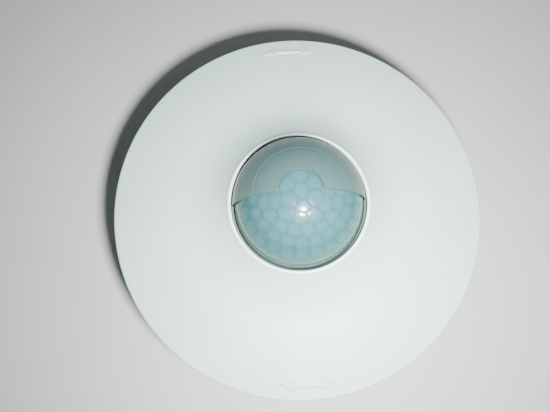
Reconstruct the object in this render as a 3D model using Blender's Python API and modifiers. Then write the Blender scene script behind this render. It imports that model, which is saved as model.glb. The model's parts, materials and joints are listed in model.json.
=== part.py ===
"""Flush-mounting ceiling motion detector: twist-off cover, lens dome, zone mask, sensor head and box insert.

Blender 4.5. Millimetres are used for every size below and turned into metres by MM.
+Z points out of the ceiling into the room, the origin is the centre of the insert's flat back,
and +Y points at the first arrow on the cover.
"""

import math

import bmesh
import bpy
from mathutils import Matrix, Vector

MM = 0.001
GAP = 0.3  # air between two pieces that touch on the real object

# Driving heights and radii
CEILING = 29.0  # plane of the ceiling, the depth of the insert behind it
COVER_RADIUS = 54.0
RIM_HEIGHT = 1.5  # straight edge of the cover above the ceiling
RIM_ROUND = 0.8
CROWN = 6.7  # rise of the cover's parabolic crown
FLARE = 6.44  # extra rise of the flare at the collar
FLARE_START = 35.0
FLARE_POWER = 2.6
COLLAR_RADIUS = 18.9  # clear opening around the dome
COLLAR_WALL = 1.2
COLLAR_RISE = 12.8  # lip of the collar above the cover's edge
LIP = 0.5
COVER_WALL = 1.5
DOME_RADIUS = 17.9
DOME_WALL = 0.6
DOME_BELOW_LIP = 2.9  # centre of the dome sphere under the collar's lip
FLANGE_RADIUS = 20.5
MASK_INNER = 18.2
MASK_OUTER = 18.6
MASK_OPENING = 17.6  # degrees from the top, the disc the mask leaves free
MASK_RING_RISE = 0.6  # top of the mask's full ring above the dome's centre
CAN_RADIUS = 26.0
CAN_WALL = 1.6
HEAD_RADIUS = 33.0
PLATE_RADIUS = 38.0
PLATE_THICK = 1.0
BOX_SCREW_RADIUS = 30.0  # flush boxes have their screws 60 mm apart
ARROW_RADIUS = 49.7

# Heights of the stack, from the ceiling up
PLATE_TOP = CEILING + PLATE_THICK
SENSOR_BOARD = PLATE_TOP + GAP
SENSOR_BOARD_TOP = SENSOR_BOARD + 1.2
HEAD_UNDER = SENSOR_BOARD_TOP + GAP
HEAD_TOP = HEAD_UNDER + 1.2
SEAT = HEAD_TOP + 0.6
SEAT_OUTER = 22.3
LIGHT_WELL = 15.5  # radius of the hole that lets the sensors look into the dome
GASKET_TOP = SEAT + GAP + 0.6
FLANGE_UNDER = GASKET_TOP + GAP
FLANGE_TOP = FLANGE_UNDER + 1.0
RETAINER_TOP = FLANGE_TOP + GAP + 0.9
LIP_TOP = CEILING + RIM_HEIGHT + COLLAR_RISE
DOME_CENTRE = LIP_TOP - DOME_BELOW_LIP
POWER_BOARD = 16.0
POWER_BOARD_TOP = POWER_BOARD + 1.6

# Settings on the head: four windows between the box screws and the claws
SETTING_RADIUS = 26.2
TIME_AZIMUTH, LUX_AZIMUTH, SWITCH_AZIMUTH, TEST_AZIMUTH = 45.0, 135.0, 225.0, 315.0
POT_SIZE = 6.5
SETTING_BASE = SENSOR_BOARD_TOP + GAP
SETTING_TOP = SETTING_BASE + 2.1
SWITCH_PITCH = 2.5
SWITCH_LENGTH = 3 * SWITCH_PITCH + 1.6
BUTTON_RADIUS = 1.75

# Sensors under the dome, on a four-sided pyramid with its corners on X and Y
CARRIER_CORNER = 14.6
CARRIER_TOP_CORNER = 5.2
CARRIER_PLINTH = SETTING_BASE + 1.4
CARRIER_TOP = CARRIER_PLINTH + 4.8
SENSOR_AZIMUTHS = (45.0, 135.0, 225.0, 315.0)

# Bayonet between the head and the ring inside the cover
LUG_AZIMUTHS = (45.0, 135.0, 225.0, 315.0)
LUG_HALF_ANGLE = 6.0
LUG_REACH = 1.7
LUG_UNDER = HEAD_TOP - 1.5
RING_INNER = HEAD_RADIUS + LUG_REACH + GAP
RING_OUTER = 38.6
RING_UNDER = PLATE_TOP + GAP
RING_TOP = RING_UNDER + 1.9
POST_RADIUS = 36.8
POST_AZIMUTHS = (0.0, 90.0, 180.0, 270.0)

# Clips of the lens retainer
CLIP_RADIUS = 21.3
CLIP_AZIMUTHS = (0.0, 90.0, 180.0, 270.0)

# Insert: bosses under the power board, and the terminals in the back
BOSSES = ((16.5, 7.0), (-16.5, 7.0), (16.5, -13.0), (-16.5, -13.0))
TERMINAL_SIZE = (22.4, 10.4)
TERMINAL_PITCH = 5.0
TERMINAL_Y = -9.0
TERMINAL_FOOT = 0.6

# Claws that spread in the flush box
CLAW_RADIUS = 26.9
CLAW_TOP = 28.4
CLAW_LENGTH = 20.0
CLAW_WIDTH = 12.0
CLAW_PIVOT = CLAW_TOP - 0.5
CLAW_SCREW_RADIUS = 29.3

COLOURS = {
    "white_shell": ((0.80, 0.84, 0.83, 1), 0.42, 0.0),
    "lens": ((0.56, 0.74, 0.78, 1), 0.30, 0.0),
    "mask": ((0.50, 0.60, 0.60, 1), 0.38, 0.0),
    "grey_shell": ((0.24, 0.25, 0.26, 1), 0.55, 0.0),
    "steel": ((0.62, 0.63, 0.64, 1), 0.35, 1.0),
    "brass": ((0.74, 0.58, 0.28, 1), 0.35, 1.0),
    "board": ((0.05, 0.27, 0.13, 1), 0.45, 0.0),
    "black_part": ((0.03, 0.03, 0.03, 1), 0.50, 0.0),
    "blue_part": ((0.06, 0.16, 0.42, 1), 0.45, 0.0),
    "orange_part": ((0.75, 0.28, 0.05, 1), 0.45, 0.0),
    "yellow_part": ((0.78, 0.60, 0.10, 1), 0.50, 0.0),
    "red_lamp": ((0.65, 0.04, 0.03, 1), 0.20, 0.0),
    "clear_part": ((0.80, 0.86, 0.88, 1), 0.10, 0.0),
    "foam": ((0.10, 0.10, 0.10, 1), 0.90, 0.0),
    "terminal": ((0.66, 0.68, 0.66, 1), 0.50, 0.0),
}


# ---------------------------------------------------------------- tools

def clear_scene():
    for obj in list(bpy.data.objects):
        bpy.data.objects.remove(obj, do_unlink=True)


def new_collection(name):
    collection = bpy.data.collections.new(name)
    bpy.context.scene.collection.children.link(collection)
    return collection


def material(name):
    found = bpy.data.materials.get(name)
    if found:
        return found
    colour, roughness, metallic = COLOURS[name]
    made = bpy.data.materials.new(name)
    made.use_nodes = True
    shader = made.node_tree.nodes["Principled BSDF"]
    shader.inputs["Base Color"].default_value = colour
    shader.inputs["Roughness"].default_value = roughness
    shader.inputs["Metallic"].default_value = metallic
    return made


def file_under(obj, collection):
    for old in list(obj.users_collection):
        old.objects.unlink(obj)
    collection.objects.link(obj)


def as_part(obj, name, finish):
    """obj becomes a named piece of the detector with its own finish."""
    obj.name = name
    obj.data.name = name
    obj.data.materials.clear()
    obj.data.materials.append(material(finish))
    file_under(obj, PARTS)
    return obj


def as_helper(obj, name):
    """obj becomes a hidden shape that a Boolean modifier uses."""
    obj.name = name
    obj.hide_render = True
    obj.display_type = "WIRE"
    file_under(obj, HELPERS)
    return obj


def boolean(target, other, operation):
    as_helper(other, f"{target.name}_{operation.lower()}_{len(target.modifiers)}")
    step = target.modifiers.new(operation.title(), "BOOLEAN")
    step.operation = operation
    step.solver = "EXACT"
    step.object = other
    return target


def cut(target, *cutters):
    for cutter in cutters:
        boolean(target, cutter, "DIFFERENCE")
    return target


def fuse(target, *others):
    for other in others:
        boolean(target, other, "UNION")
    return target


def mesh_object(mesh):
    obj = bpy.data.objects.new(mesh.name, mesh)
    bpy.context.scene.collection.objects.link(obj)
    return obj


def turned(profile, steps=48):
    """A solid of revolution about Z. The profile, (radius, height) pairs, runs down its outer side first."""
    mesh = bpy.data.meshes.new("turned")
    points = [(radius * MM, 0.0, height * MM) for radius, height in profile]
    edges = [(i, i + 1) for i in range(len(points) - 1)]
    on_axis = profile[0][0] == 0.0 and profile[-1][0] == 0.0
    if not on_axis:
        edges.append((len(points) - 1, 0))
    mesh.from_pydata(points, edges, [])
    obj = mesh_object(mesh)
    turn = obj.modifiers.new("Turn", "SCREW")
    turn.axis = "Z"
    turn.angle = math.tau
    turn.steps = turn.render_steps = steps
    turn.use_merge_vertices = True
    turn.merge_threshold = 0.00001
    turn.use_smooth_shade = True
    turn.use_normal_calculate = False
    return obj


def tube(inner, outer, low, high, steps=48):
    return turned([(outer, high), (outer, low), (inner, low), (inner, high)], steps)


def disc(radius, low, high, steps=48):
    return turned([(0.0, high), (radius, high), (radius, low), (0.0, low)], steps)


def block(size, centre, azimuth=0.0):
    """A box of the given size in mm, turned about Z."""
    bpy.ops.mesh.primitive_cube_add(size=1.0)
    obj = bpy.context.object
    obj.data.transform(Matrix.Diagonal((size[0] * MM, size[1] * MM, size[2] * MM, 1.0)))
    obj.location = Vector(centre) * MM
    obj.rotation_euler.z = math.radians(azimuth)
    return obj


def polar_block(size, radius, azimuth, low):
    """A box (radial, tangential, height) whose centre is at radius and azimuth and whose foot is at low."""
    x, y = polar(radius, azimuth)
    return block(size, (x, y, low + size[2] / 2), azimuth)


def rod(radius, low, high, x=0.0, y=0.0, vertices=24):
    """A round bar along Z."""
    bpy.ops.mesh.primitive_cylinder_add(vertices=vertices, radius=radius * MM, depth=(high - low) * MM)
    obj = bpy.context.object
    obj.location = Vector((x, y, (low + high) / 2)) * MM
    return obj


def lying_rod(radius, length, centre, azimuth, vertices=20):
    """A round bar that lies flat, pointing at azimuth."""
    bpy.ops.mesh.primitive_cylinder_add(vertices=vertices, radius=radius * MM, depth=length * MM)
    obj = bpy.context.object
    obj.rotation_euler = (0.0, math.pi / 2, math.radians(azimuth))
    obj.location = Vector(centre) * MM
    return obj


def polar(radius, azimuth):
    angle = math.radians(azimuth)
    return radius * math.cos(angle), radius * math.sin(angle)


def arc(centre_radius, centre_height, radius, start, end, count):
    """Points of a circular stretch of a profile, angles in degrees from +r towards +z."""
    points = []
    for i in range(count + 1):
        angle = math.radians(start + (end - start) * i / count)
        points.append((centre_radius + radius * math.cos(angle), centre_height + radius * math.sin(angle)))
    return points


def soften(obj, width, segments=2):
    bevel = obj.modifiers.new("Soften", "BEVEL")
    bevel.width = width * MM
    bevel.segments = segments
    bevel.limit_method = "ANGLE"
    bevel.angle_limit = math.radians(40)
    return obj


def wedge(inner, outer, low, high, azimuth, half_angle, steps=4):
    """A sector of a tube, centred on azimuth."""
    mesh = bpy.data.meshes.new("wedge")
    shape = bmesh.new()
    section = [(outer, high), (outer, low), (inner, low), (inner, high)]
    corners = [shape.verts.new((radius * MM, 0.0, height * MM)) for radius, height in section]
    face = shape.faces.new(corners)
    turn_back = Matrix.Rotation(math.radians(azimuth - half_angle), 3, "Z")
    bmesh.ops.rotate(shape, verts=shape.verts, cent=(0, 0, 0), matrix=turn_back)
    bmesh.ops.spin(
        shape, geom=[face, *face.edges, *face.verts], cent=(0, 0, 0), axis=(0, 0, 1),
        angle=math.radians(2 * half_angle), steps=steps,
    )
    bmesh.ops.recalc_face_normals(shape, faces=shape.faces)
    shape.to_mesh(mesh)
    shape.free()
    return mesh_object(mesh)


def move_origin(obj, point):
    """Puts the object's origin on a joint axis without moving its shape or its modifiers' helpers."""
    obj.data.transform(Matrix.Translation(-point) @ obj.matrix_basis)
    obj.matrix_basis = Matrix.Translation(point)


# ---------------------------------------------------------------- cover

def cover_height(radius):
    """Height of the cover's outer face: a shallow crown that flares up to the collar."""
    lean = math.atan(2 * CROWN / COVER_RADIUS)
    edge = COVER_RADIUS - RIM_ROUND * (1 - math.sin(lean))
    edge_height = CEILING + RIM_HEIGHT + RIM_ROUND * math.cos(lean)
    base = edge_height - CROWN * (1 - (edge / COVER_RADIUS) ** 2)
    crown = CROWN * (1 - (radius / COVER_RADIUS) ** 2)
    inward = max(0.0, FLARE_START - radius) / (FLARE_START - COLLAR_RADIUS - LIP)
    return base + crown + FLARE * inward ** FLARE_POWER


def cover_slope(radius):
    step = 0.01
    return (cover_height(radius - step) - cover_height(radius + step)) / (2 * step)


def cover_underside(radius):
    return cover_height(radius) - COVER_WALL * math.hypot(1.0, cover_slope(radius))


def cover_profile():
    """The cover's section, from the collar's lip out to the rim and back underneath."""
    lip = arc(COLLAR_RADIUS + LIP, LIP_TOP - LIP, LIP, 180, 35, 4)
    flare_radii = [20.5, 21.4, 22.5, 24.0, 26.0, 28.5, 32.0, 37.0, 43.0, 49.0]
    lean = math.degrees(math.atan(2 * CROWN / COVER_RADIUS))
    rim = arc(COVER_RADIUS - RIM_ROUND, CEILING + RIM_HEIGHT, RIM_ROUND, 90 - lean, 0, 3)
    outside = [(radius, cover_height(radius)) for radius in flare_radii]
    foot = [(COVER_RADIUS - 0.1, CEILING), (COVER_RADIUS - 1.9, CEILING)]
    under_radii = [51.0, 43.0, 36.0, 31.0, 27.5, 24.5, 22.6, 21.2]
    underside = [(radius, cover_underside(radius)) for radius in under_radii]
    sleeve_foot = RETAINER_TOP + 0.4
    sleeve_outer = COLLAR_RADIUS + COLLAR_WALL
    sleeve = [(sleeve_outer, sleeve_foot), (COLLAR_RADIUS, sleeve_foot)]
    return lip + outside + rim + foot + underside + sleeve


def arrow_outline():
    """Half-width of the double arrow along its length, as (along, across) points round its edge."""
    half_length, barb, barb_width, neck, shaft = 7.9, 3.4, 1.4, 3.9, 0.6
    right = [(neck, -shaft), (barb, -barb_width), (half_length, 0.0), (barb, barb_width), (neck, shaft)]
    left = [(-along, -across) for along, across in right]
    return right + left


def arrow_prism(azimuth):
    """The raised double arrow, curved with the rim and leaning with the cover's face."""
    outline = bpy.data.curves.new("arrow", "CURVE")
    outline.dimensions = "2D"
    outline.fill_mode = "BOTH"
    outline.extrude = 0.5 * MM
    spline = outline.splines.new("POLY")
    corners = arrow_outline()
    spline.points.add(len(corners) - 1)
    spline.use_cyclic_u = True
    for point, (along, across) in zip(spline.points, corners):
        bend = along * along / (2 * ARROW_RADIUS)
        point.co = (along * MM, (-bend - across) * MM, 0.0, 1.0)
    guide = bpy.data.objects.new("arrow_guide", outline)
    bpy.context.scene.collection.objects.link(guide)
    x, y = polar(ARROW_RADIUS, azimuth)
    lean = math.atan(cover_slope(ARROW_RADIUS))
    turn = Matrix.Rotation(math.radians(azimuth - 90.0), 4, "Z") @ Matrix.Rotation(-lean, 4, "X")
    guide.matrix_world = Matrix.Translation(Vector((x, y, cover_height(ARROW_RADIUS) - 0.2)) * MM) @ turn
    bpy.context.view_layer.update()
    evaluated = guide.evaluated_get(bpy.context.evaluated_depsgraph_get())
    mesh = bpy.data.meshes.new_from_object(evaluated)
    shape = bmesh.new()
    shape.from_mesh(mesh)
    bmesh.ops.remove_doubles(shape, verts=shape.verts, dist=0.00001)
    bmesh.ops.recalc_face_normals(shape, faces=shape.faces)
    shape.to_mesh(mesh)
    shape.free()
    solid = mesh_object(mesh)
    solid.matrix_world = guide.matrix_world.copy()
    bpy.data.objects.remove(guide)
    return solid


def build_cover():
    cover = as_part(turned(cover_profile(), 56), "cover", "white_shell")
    for azimuth in (90.0, 270.0):
        fuse(cover, arrow_prism(azimuth))
    post_foot = RING_UNDER + 0.3
    post_height = cover_underside(POST_RADIUS) + 0.8 - post_foot
    for azimuth in POST_AZIMUTHS:
        fuse(cover, polar_block((1.6, 6.0, post_height), POST_RADIUS, azimuth, post_foot))


def build_bayonet_ring():
    """The ring that the cover's posts plug into. Its lugs turn in under the lugs of the head."""
    ring = as_part(tube(RING_INNER, RING_OUTER, RING_UNDER, RING_TOP), "bayonet_ring", "white_shell")
    for azimuth in LUG_AZIMUTHS:
        inner, outer = HEAD_RADIUS + GAP, RING_INNER + 0.8
        lug = wedge(inner, outer, RING_UNDER, LUG_UNDER - GAP, azimuth, LUG_HALF_ANGLE - 1.0)
        fuse(ring, lug)
    socket_play = 2 * GAP
    for azimuth in POST_AZIMUTHS:
        socket = (1.6 + socket_play, 6.0 + socket_play, 6.0)
        cut(ring, polar_block(socket, POST_RADIUS, azimuth, RING_UNDER - 1.0))


# ---------------------------------------------------------------- dome and mask

def build_lens():
    rim = FLANGE_RADIUS
    outside = arc(0.0, DOME_CENTRE, DOME_RADIUS, 90, 0, 8)
    outside[0] = (0.0, DOME_CENTRE + DOME_RADIUS)
    inside = arc(0.0, DOME_CENTRE, DOME_RADIUS - DOME_WALL, 0, 90, 8)
    inside[-1] = (0.0, DOME_CENTRE + DOME_RADIUS - DOME_WALL)
    flange = [(DOME_RADIUS, FLANGE_TOP), (rim, FLANGE_TOP), (rim, FLANGE_UNDER)]
    foot = [(DOME_RADIUS - DOME_WALL, FLANGE_UNDER)]
    as_part(turned(outside + flange + foot + inside, 44), "lens_dome", "lens")


def build_mask():
    """A thin shell over half of the dome, standing on a full ring that turns round the dome's foot."""
    foot = FLANGE_TOP + GAP
    outside = arc(0.0, DOME_CENTRE, MASK_OUTER, 90 - MASK_OPENING, 0, 7) + [(MASK_OUTER, foot)]
    inside = [(MASK_INNER, foot)] + arc(0.0, DOME_CENTRE, MASK_INNER, 0, 90 - MASK_OPENING, 7)
    mask = as_part(turned(outside + inside, 44), "lens_mask", "mask")
    ring_top = DOME_CENTRE + MASK_RING_RISE
    room = 2 * MASK_OUTER + 4
    half = block((room, room, room), (0.0, -room / 2, ring_top + room / 2))
    cut(mask, half)


def build_lens_mounting():
    gasket = tube(DOME_RADIUS + 0.4, FLANGE_RADIUS - 0.3, SEAT + GAP, GASKET_TOP)
    as_part(gasket, "dome_gasket", "foam")
    lip_inner = MASK_OUTER + 0.4
    skirt_inner = FLANGE_RADIUS + GAP
    skirt_outer = skirt_inner + 1.0
    retainer = turned([
        (skirt_outer, RETAINER_TOP), (skirt_outer, SEAT + GAP), (skirt_inner, SEAT + GAP),
        (skirt_inner, FLANGE_TOP + GAP), (lip_inner, FLANGE_TOP + GAP), (lip_inner, RETAINER_TOP),
    ])
    as_part(retainer, "lens_retainer", "white_shell")
    for azimuth in CLIP_AZIMUTHS:
        fuse(retainer, polar_block((0.8, 4.0, SEAT + 1.0 - HEAD_UNDER), CLIP_RADIUS, azimuth, HEAD_UNDER))


# ---------------------------------------------------------------- head and insert

def hook_azimuths():
    return [azimuth + offset for azimuth in (0.0, 180.0) for offset in (-24.0, 24.0)]


def build_head():
    """The white housing under the cover: lens seat, setting windows, bayonet lugs and snap legs."""
    wall = 1.5
    head = turned([
        (SEAT_OUTER, SEAT), (SEAT_OUTER, HEAD_TOP), (HEAD_RADIUS, HEAD_TOP), (HEAD_RADIUS, SENSOR_BOARD),
        (HEAD_RADIUS - wall, SENSOR_BOARD), (HEAD_RADIUS - wall, HEAD_UNDER), (LIGHT_WELL, HEAD_UNDER),
        (LIGHT_WELL, SEAT),
    ], 48)
    as_part(head, "head_housing", "white_shell")
    for azimuth in LUG_AZIMUTHS:
        reach = HEAD_RADIUS + LUG_REACH
        fuse(head, wedge(HEAD_RADIUS - 0.8, reach, LUG_UNDER, HEAD_TOP - 0.4, azimuth, LUG_HALF_ANGLE))
    for azimuth in hook_azimuths():
        leg_foot = 20.0
        fuse(head, polar_block((1.2, 5.0, HEAD_UNDER + 0.4 - leg_foot), 23.4, azimuth, leg_foot))
        fuse(head, polar_block((1.5, 5.0, 1.6), 24.2, azimuth, leg_foot))
    for azimuth in (90.0, 270.0):
        cut(head, polar_block((12.0, 8.4, 8.0), BOX_SCREW_RADIUS + 2.0, azimuth, SENSOR_BOARD - 1.0))
    for azimuth in (0.0, 180.0):
        x, y = polar(CLAW_SCREW_RADIUS, azimuth)
        cut(head, rod(3.0, SENSOR_BOARD - 1.0, HEAD_TOP + 1.0, x, y))
    window = POT_SIZE + 2 * GAP
    for azimuth in (TIME_AZIMUTH, LUX_AZIMUTH, TEST_AZIMUTH):
        cut(head, polar_block((window, window, 6.0), SETTING_RADIUS, azimuth, HEAD_UNDER - 1.0))
    switch_window = (window, SWITCH_LENGTH + 2 * GAP, 6.0)
    cut(head, polar_block(switch_window, SETTING_RADIUS, SWITCH_AZIMUTH, HEAD_UNDER - 1.0))
    for azimuth in CLIP_AZIMUTHS:
        cut(head, polar_block((1.4, 4.6, 4.0), CLIP_RADIUS, azimuth, HEAD_UNDER - 1.0))


def build_support_plate():
    """Zinc-plated steel ring with curved slots for the two screws of a 60 mm flush box."""
    seat = CAN_RADIUS + 0.6  # the plate is thinner inside this radius, where it lies on the insert
    plate = turned([
        (PLATE_RADIUS, PLATE_TOP), (PLATE_RADIUS, CEILING), (seat, CEILING), (seat, CEILING + GAP),
        (CAN_RADIUS - 0.9, CEILING + GAP), (CAN_RADIUS - 0.9, PLATE_TOP),
    ])
    as_part(plate, "support_plate", "steel")
    for azimuth in (90.0, 270.0):
        low, high = CEILING - 1.0, PLATE_TOP + 1.0
        cut(plate, wedge(BOX_SCREW_RADIUS - 1.8, BOX_SCREW_RADIUS + 1.8, low, high, azimuth, 9.0, 6))
    for side in (1, -1):
        cut(plate, rod(1.8, CEILING - 1.0, PLATE_TOP + 1.0, side * CLAW_SCREW_RADIUS, 0.0, 16))
        for y in (-CLAW_WIDTH / 2 - 0.9, CLAW_WIDTH / 2 + 0.9):
            fuse(plate, block((2.4, 1.0, 2.7), (side * (CLAW_RADIUS + 0.3), y, CEILING - 0.85)))
        cut(plate, lying_rod(0.7, CLAW_WIDTH + 8.0, (side * CLAW_RADIUS, 0.0, CLAW_PIVOT), 90.0, 12))


def build_can():
    """The insert behind the ceiling: an open cup with a window for the terminals and four snap windows."""
    inner = CAN_RADIUS - CAN_WALL
    top = CEILING
    can = turned([
        (0.0, 1.8), (inner - 1.2, 1.8), (inner, 3.0), (inner, top), (CAN_RADIUS, top),
        (CAN_RADIUS, 1.0), (CAN_RADIUS - 1.0, 0.0), (0.0, 0.0),
    ], 48)
    as_part(can, "rear_can", "grey_shell")
    for x, y in BOSSES:
        fuse(can, rod(2.2, 1.2, POWER_BOARD - GAP, x, y, 16))
    width, depth = (side + 2 * GAP for side in TERMINAL_SIZE)
    cut(can, block((width, depth, 6.0), (0.0, TERMINAL_Y, 1.0)))
    for azimuth in hook_azimuths():
        cut(can, polar_block((4.0, 6.0, 2.8), CAN_RADIUS - 0.5, azimuth, 19.4))


def build_claws():
    """Two forked steel claws that hang beside the insert, and the screws that spread them in the box."""
    low = CLAW_TOP - CLAW_LENGTH
    for name, azimuth in (("claw_right", 0.0), ("claw_left", 180.0)):
        claw = polar_block((1.0, CLAW_WIDTH, CLAW_LENGTH), CLAW_RADIUS, azimuth, low)
        as_part(claw, name, "steel")
        pivot = Vector((*polar(CLAW_RADIUS, azimuth), CLAW_PIVOT))
        move_origin(claw, pivot * MM)
        fuse(claw, polar_block((1.9, CLAW_WIDTH, 1.0), CLAW_RADIUS + 0.45, azimuth, low))
        fuse(claw, lying_rod(0.4, CLAW_WIDTH + 2.6, pivot, 90.0, 12))
        cut(claw, polar_block((6.0, 4.6, CLAW_LENGTH), CLAW_RADIUS, azimuth, low - 1.0))
    head_low = PLATE_TOP + GAP
    for name, azimuth, slot_turn in (("claw_screw_right", 0.0, 35.0), ("claw_screw_left", 180.0, 80.0)):
        x, y = polar(CLAW_SCREW_RADIUS, azimuth)
        screw = turned([
            (0.0, head_low + 1.8), (2.0, head_low + 1.8), (2.5, head_low + 1.2), (2.5, head_low),
            (1.4, head_low), (1.4, 11.0), (0.9, 10.0), (0.0, 10.0),
        ], 20)
        screw.location = Vector((x, y, 0.0)) * MM
        as_part(screw, name, "steel")
        cut(screw, block((6.0, 0.7, 1.2), (x, y, head_low + 1.9), slot_turn))



# ---------------------------------------------------------------- sensors under the dome

def build_sensor_board():
    board = disc(HEAD_RADIUS - 1.5 - GAP, SENSOR_BOARD, SENSOR_BOARD_TOP)
    as_part(board, "sensor_board", "board")
    low, height = SENSOR_BOARD - 1.0, 4.0
    for azimuth in hook_azimuths():
        cut(board, polar_block((2.0, 5.8, height), 23.4, azimuth, low))
    for azimuth in (90.0, 270.0):
        cut(board, polar_block((10.0, 9.0, height), BOX_SCREW_RADIUS + 1.0, azimuth, low))
    for azimuth in (0.0, 180.0):
        cut(board, polar_block((7.0, 6.2, height), CLAW_SCREW_RADIUS + 0.4, azimuth, low))


def sensor_frame(azimuth):
    """Where a heat sensor's base sits on its slanting face, looking outward and up."""
    half = math.cos(math.radians(45.0)) / 2
    radius = (CARRIER_CORNER + CARRIER_TOP_CORNER) * half
    height = (CARRIER_PLINTH + CARRIER_TOP) / 2
    run = (CARRIER_CORNER - CARRIER_TOP_CORNER) * 2 * half
    lean = math.atan2(CARRIER_TOP - CARRIER_PLINTH, run)
    place = Matrix.Translation(Vector((*polar(radius, azimuth), height)) * MM)
    turn = Matrix.Rotation(math.radians(azimuth), 4, "Z") @ Matrix.Rotation(lean, 4, "Y")
    return place @ turn @ Matrix.Translation((0.0, 0.0, GAP * MM))


def build_sensors():
    carrier = turned([
        (0.0, CARRIER_TOP), (CARRIER_TOP_CORNER, CARRIER_TOP), (CARRIER_CORNER, CARRIER_PLINTH),
        (CARRIER_CORNER, SETTING_BASE), (0.0, SETTING_BASE),
    ], 4)
    as_part(carrier, "sensor_carrier", "black_part")
    for number, azimuth in enumerate(SENSOR_AZIMUTHS, start=1):
        sensor = turned([
            (0.0, 4.2), (3.7, 4.2), (4.1, 3.8), (4.1, 0.8), (4.5, 0.8), (4.5, 0.0), (0.0, 0.0),
        ], 32)
        frame = sensor_frame(azimuth)
        sensor.matrix_basis = frame
        as_part(sensor, f"pir_sensor_{number}", "steel")
        window = block((4.0, 3.2, 1.0), (0.0, 0.0, 0.0))
        window.matrix_basis = frame @ Matrix.Translation((0.0, 0.0, 4.4 * MM))
        cut(sensor, window)
    cell = as_part(block((3.0, 3.0, 0.9), (0.0, 0.0, CARRIER_TOP + GAP + 0.45)), "light_sensor", "black_part")
    soften(cell, 0.15, 1)
    x, y = polar(13.2, TIME_AZIMUTH)
    lamp_base = SETTING_BASE
    lamp = turned([(0.0, lamp_base + 2.8)] + arc(0.0, lamp_base + 1.3, 1.5, 70, 0, 3) + [
        (1.5, lamp_base + 0.5), (1.8, lamp_base + 0.5), (1.8, lamp_base), (0.0, lamp_base),
    ], 24)
    lamp.location = Vector((x, y, 0.0)) * MM
    as_part(lamp, "status_lamp", "red_lamp")


# ---------------------------------------------------------------- settings

def build_pot(name, knob_name, azimuth):
    """A trimmer: a square body with a round pocket, and the slotted rotor that turns in it."""
    x, y = polar(SETTING_RADIUS, azimuth)
    height = SETTING_TOP - SETTING_BASE
    body = polar_block((POT_SIZE, POT_SIZE, height), SETTING_RADIUS, azimuth, SETTING_BASE)
    as_part(body, name, "blue_part")
    cut(body, rod(2.6, SETTING_TOP - 1.2, SETTING_TOP + 1.0, x, y))
    knob_low, knob_high = SETTING_TOP - 0.9, SETTING_TOP + 0.5
    knob = turned([
        (0.0, knob_high), (2.0, knob_high), (2.3, knob_high - 0.3), (2.3, knob_low), (0.0, knob_low),
    ], 24)
    knob.location = Vector((x, y, 0.0)) * MM
    as_part(knob, knob_name, "orange_part")
    cut(knob, block((4.0, 0.7, 1.2), (x, y, knob_high), azimuth))
    cut(knob, block((0.8, 1.8, 1.2), (*polar(SETTING_RADIUS + 1.1, azimuth), knob_high), azimuth))


def build_switches():
    height = SETTING_TOP - SETTING_BASE
    body = polar_block((POT_SIZE, SWITCH_LENGTH, height), SETTING_RADIUS, SWITCH_AZIMUTH, SETTING_BASE)
    as_part(body, "switch_block", "black_part")
    radial = Vector((*polar(1.0, SWITCH_AZIMUTH), 0.0))
    across = Vector((*polar(1.0, SWITCH_AZIMUTH + 90.0), 0.0))
    for number, step in enumerate((-1, 0, 1), start=1):
        middle = radial * SETTING_RADIUS + across * (step * SWITCH_PITCH)
        slot = block((4.0, 1.6, 2.3), middle + Vector((0, 0, SETTING_TOP - 0.15)), SWITCH_AZIMUTH)
        cut(body, slot)
        seat = middle - radial + Vector((0, 0, SETTING_TOP - 0.25))
        slider = block((1.4, 1.0, 1.5), seat, SWITCH_AZIMUTH)
        soften(as_part(slider, f"switch_slider_{number}", "clear_part"), 0.1, 1)


def build_test_switch():
    x, y = polar(SETTING_RADIUS, TEST_AZIMUTH)
    height = SETTING_TOP - SETTING_BASE
    body = polar_block((POT_SIZE - 0.5, POT_SIZE - 0.5, height), SETTING_RADIUS, TEST_AZIMUTH, SETTING_BASE)
    as_part(body, "test_switch", "black_part")
    cut(body, rod(BUTTON_RADIUS + GAP, SETTING_BASE + 0.4, SETTING_TOP + 1.0, x, y))
    low, high = SETTING_BASE + 1.2, SETTING_TOP + 0.7
    button = turned([
        (0.0, high), (BUTTON_RADIUS - 0.2, high), (BUTTON_RADIUS, high - 0.2),
        (BUTTON_RADIUS, low), (0.0, low),
    ], 24)
    button.location = Vector((x, y, 0.0)) * MM
    as_part(button, "test_button", "orange_part")


# ---------------------------------------------------------------- power section in the insert

def upright(name, finish, size, centre, low, azimuth=0.0, edge=0.4):
    x, y = centre
    return soften(as_part(block(size, (x, y, low + size[2] / 2), azimuth), name, finish), edge, 1)


def build_power_board():
    as_part(disc(22.3, POWER_BOARD, POWER_BOARD_TOP), "power_board", "board")
    base = POWER_BOARD_TOP + GAP
    upright("relay", "orange_part", (27.0, 12.4, 10.6), (0.0, 12.0), base)
    upright("transformer", "yellow_part", (13.0, 11.6, 7.8), (-11.0, -3.0), base)
    upright("suppressor_capacitor", "yellow_part", (13.0, 5.4, 9.6), (-7.4, -14.6), base, -14.0)
    upright("fuse", "black_part", (8.4, 4.2, 7.6), (7.0, -17.0), base, 14.0)
    upright("board_header", "black_part", (5.0, 10.4, SENSOR_BOARD - GAP - base), (18.6, 0.0), base, 0.0, 0.2)
    main = turned([
        (0.0, base + 11.2), (4.4, base + 11.2), (5.0, base + 10.6), (5.0, base), (0.0, base),
    ], 32)
    main.location = Vector((8.6, -2.6, 0.0)) * MM
    as_part(main, "main_capacitor", "blue_part")
    varistor = lying_rod(4.4, 3.6, (14.2, -11.6, base + 4.5), -40.0, 28)
    soften(as_part(varistor, "varistor", "blue_part"), 0.7, 1)


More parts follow.
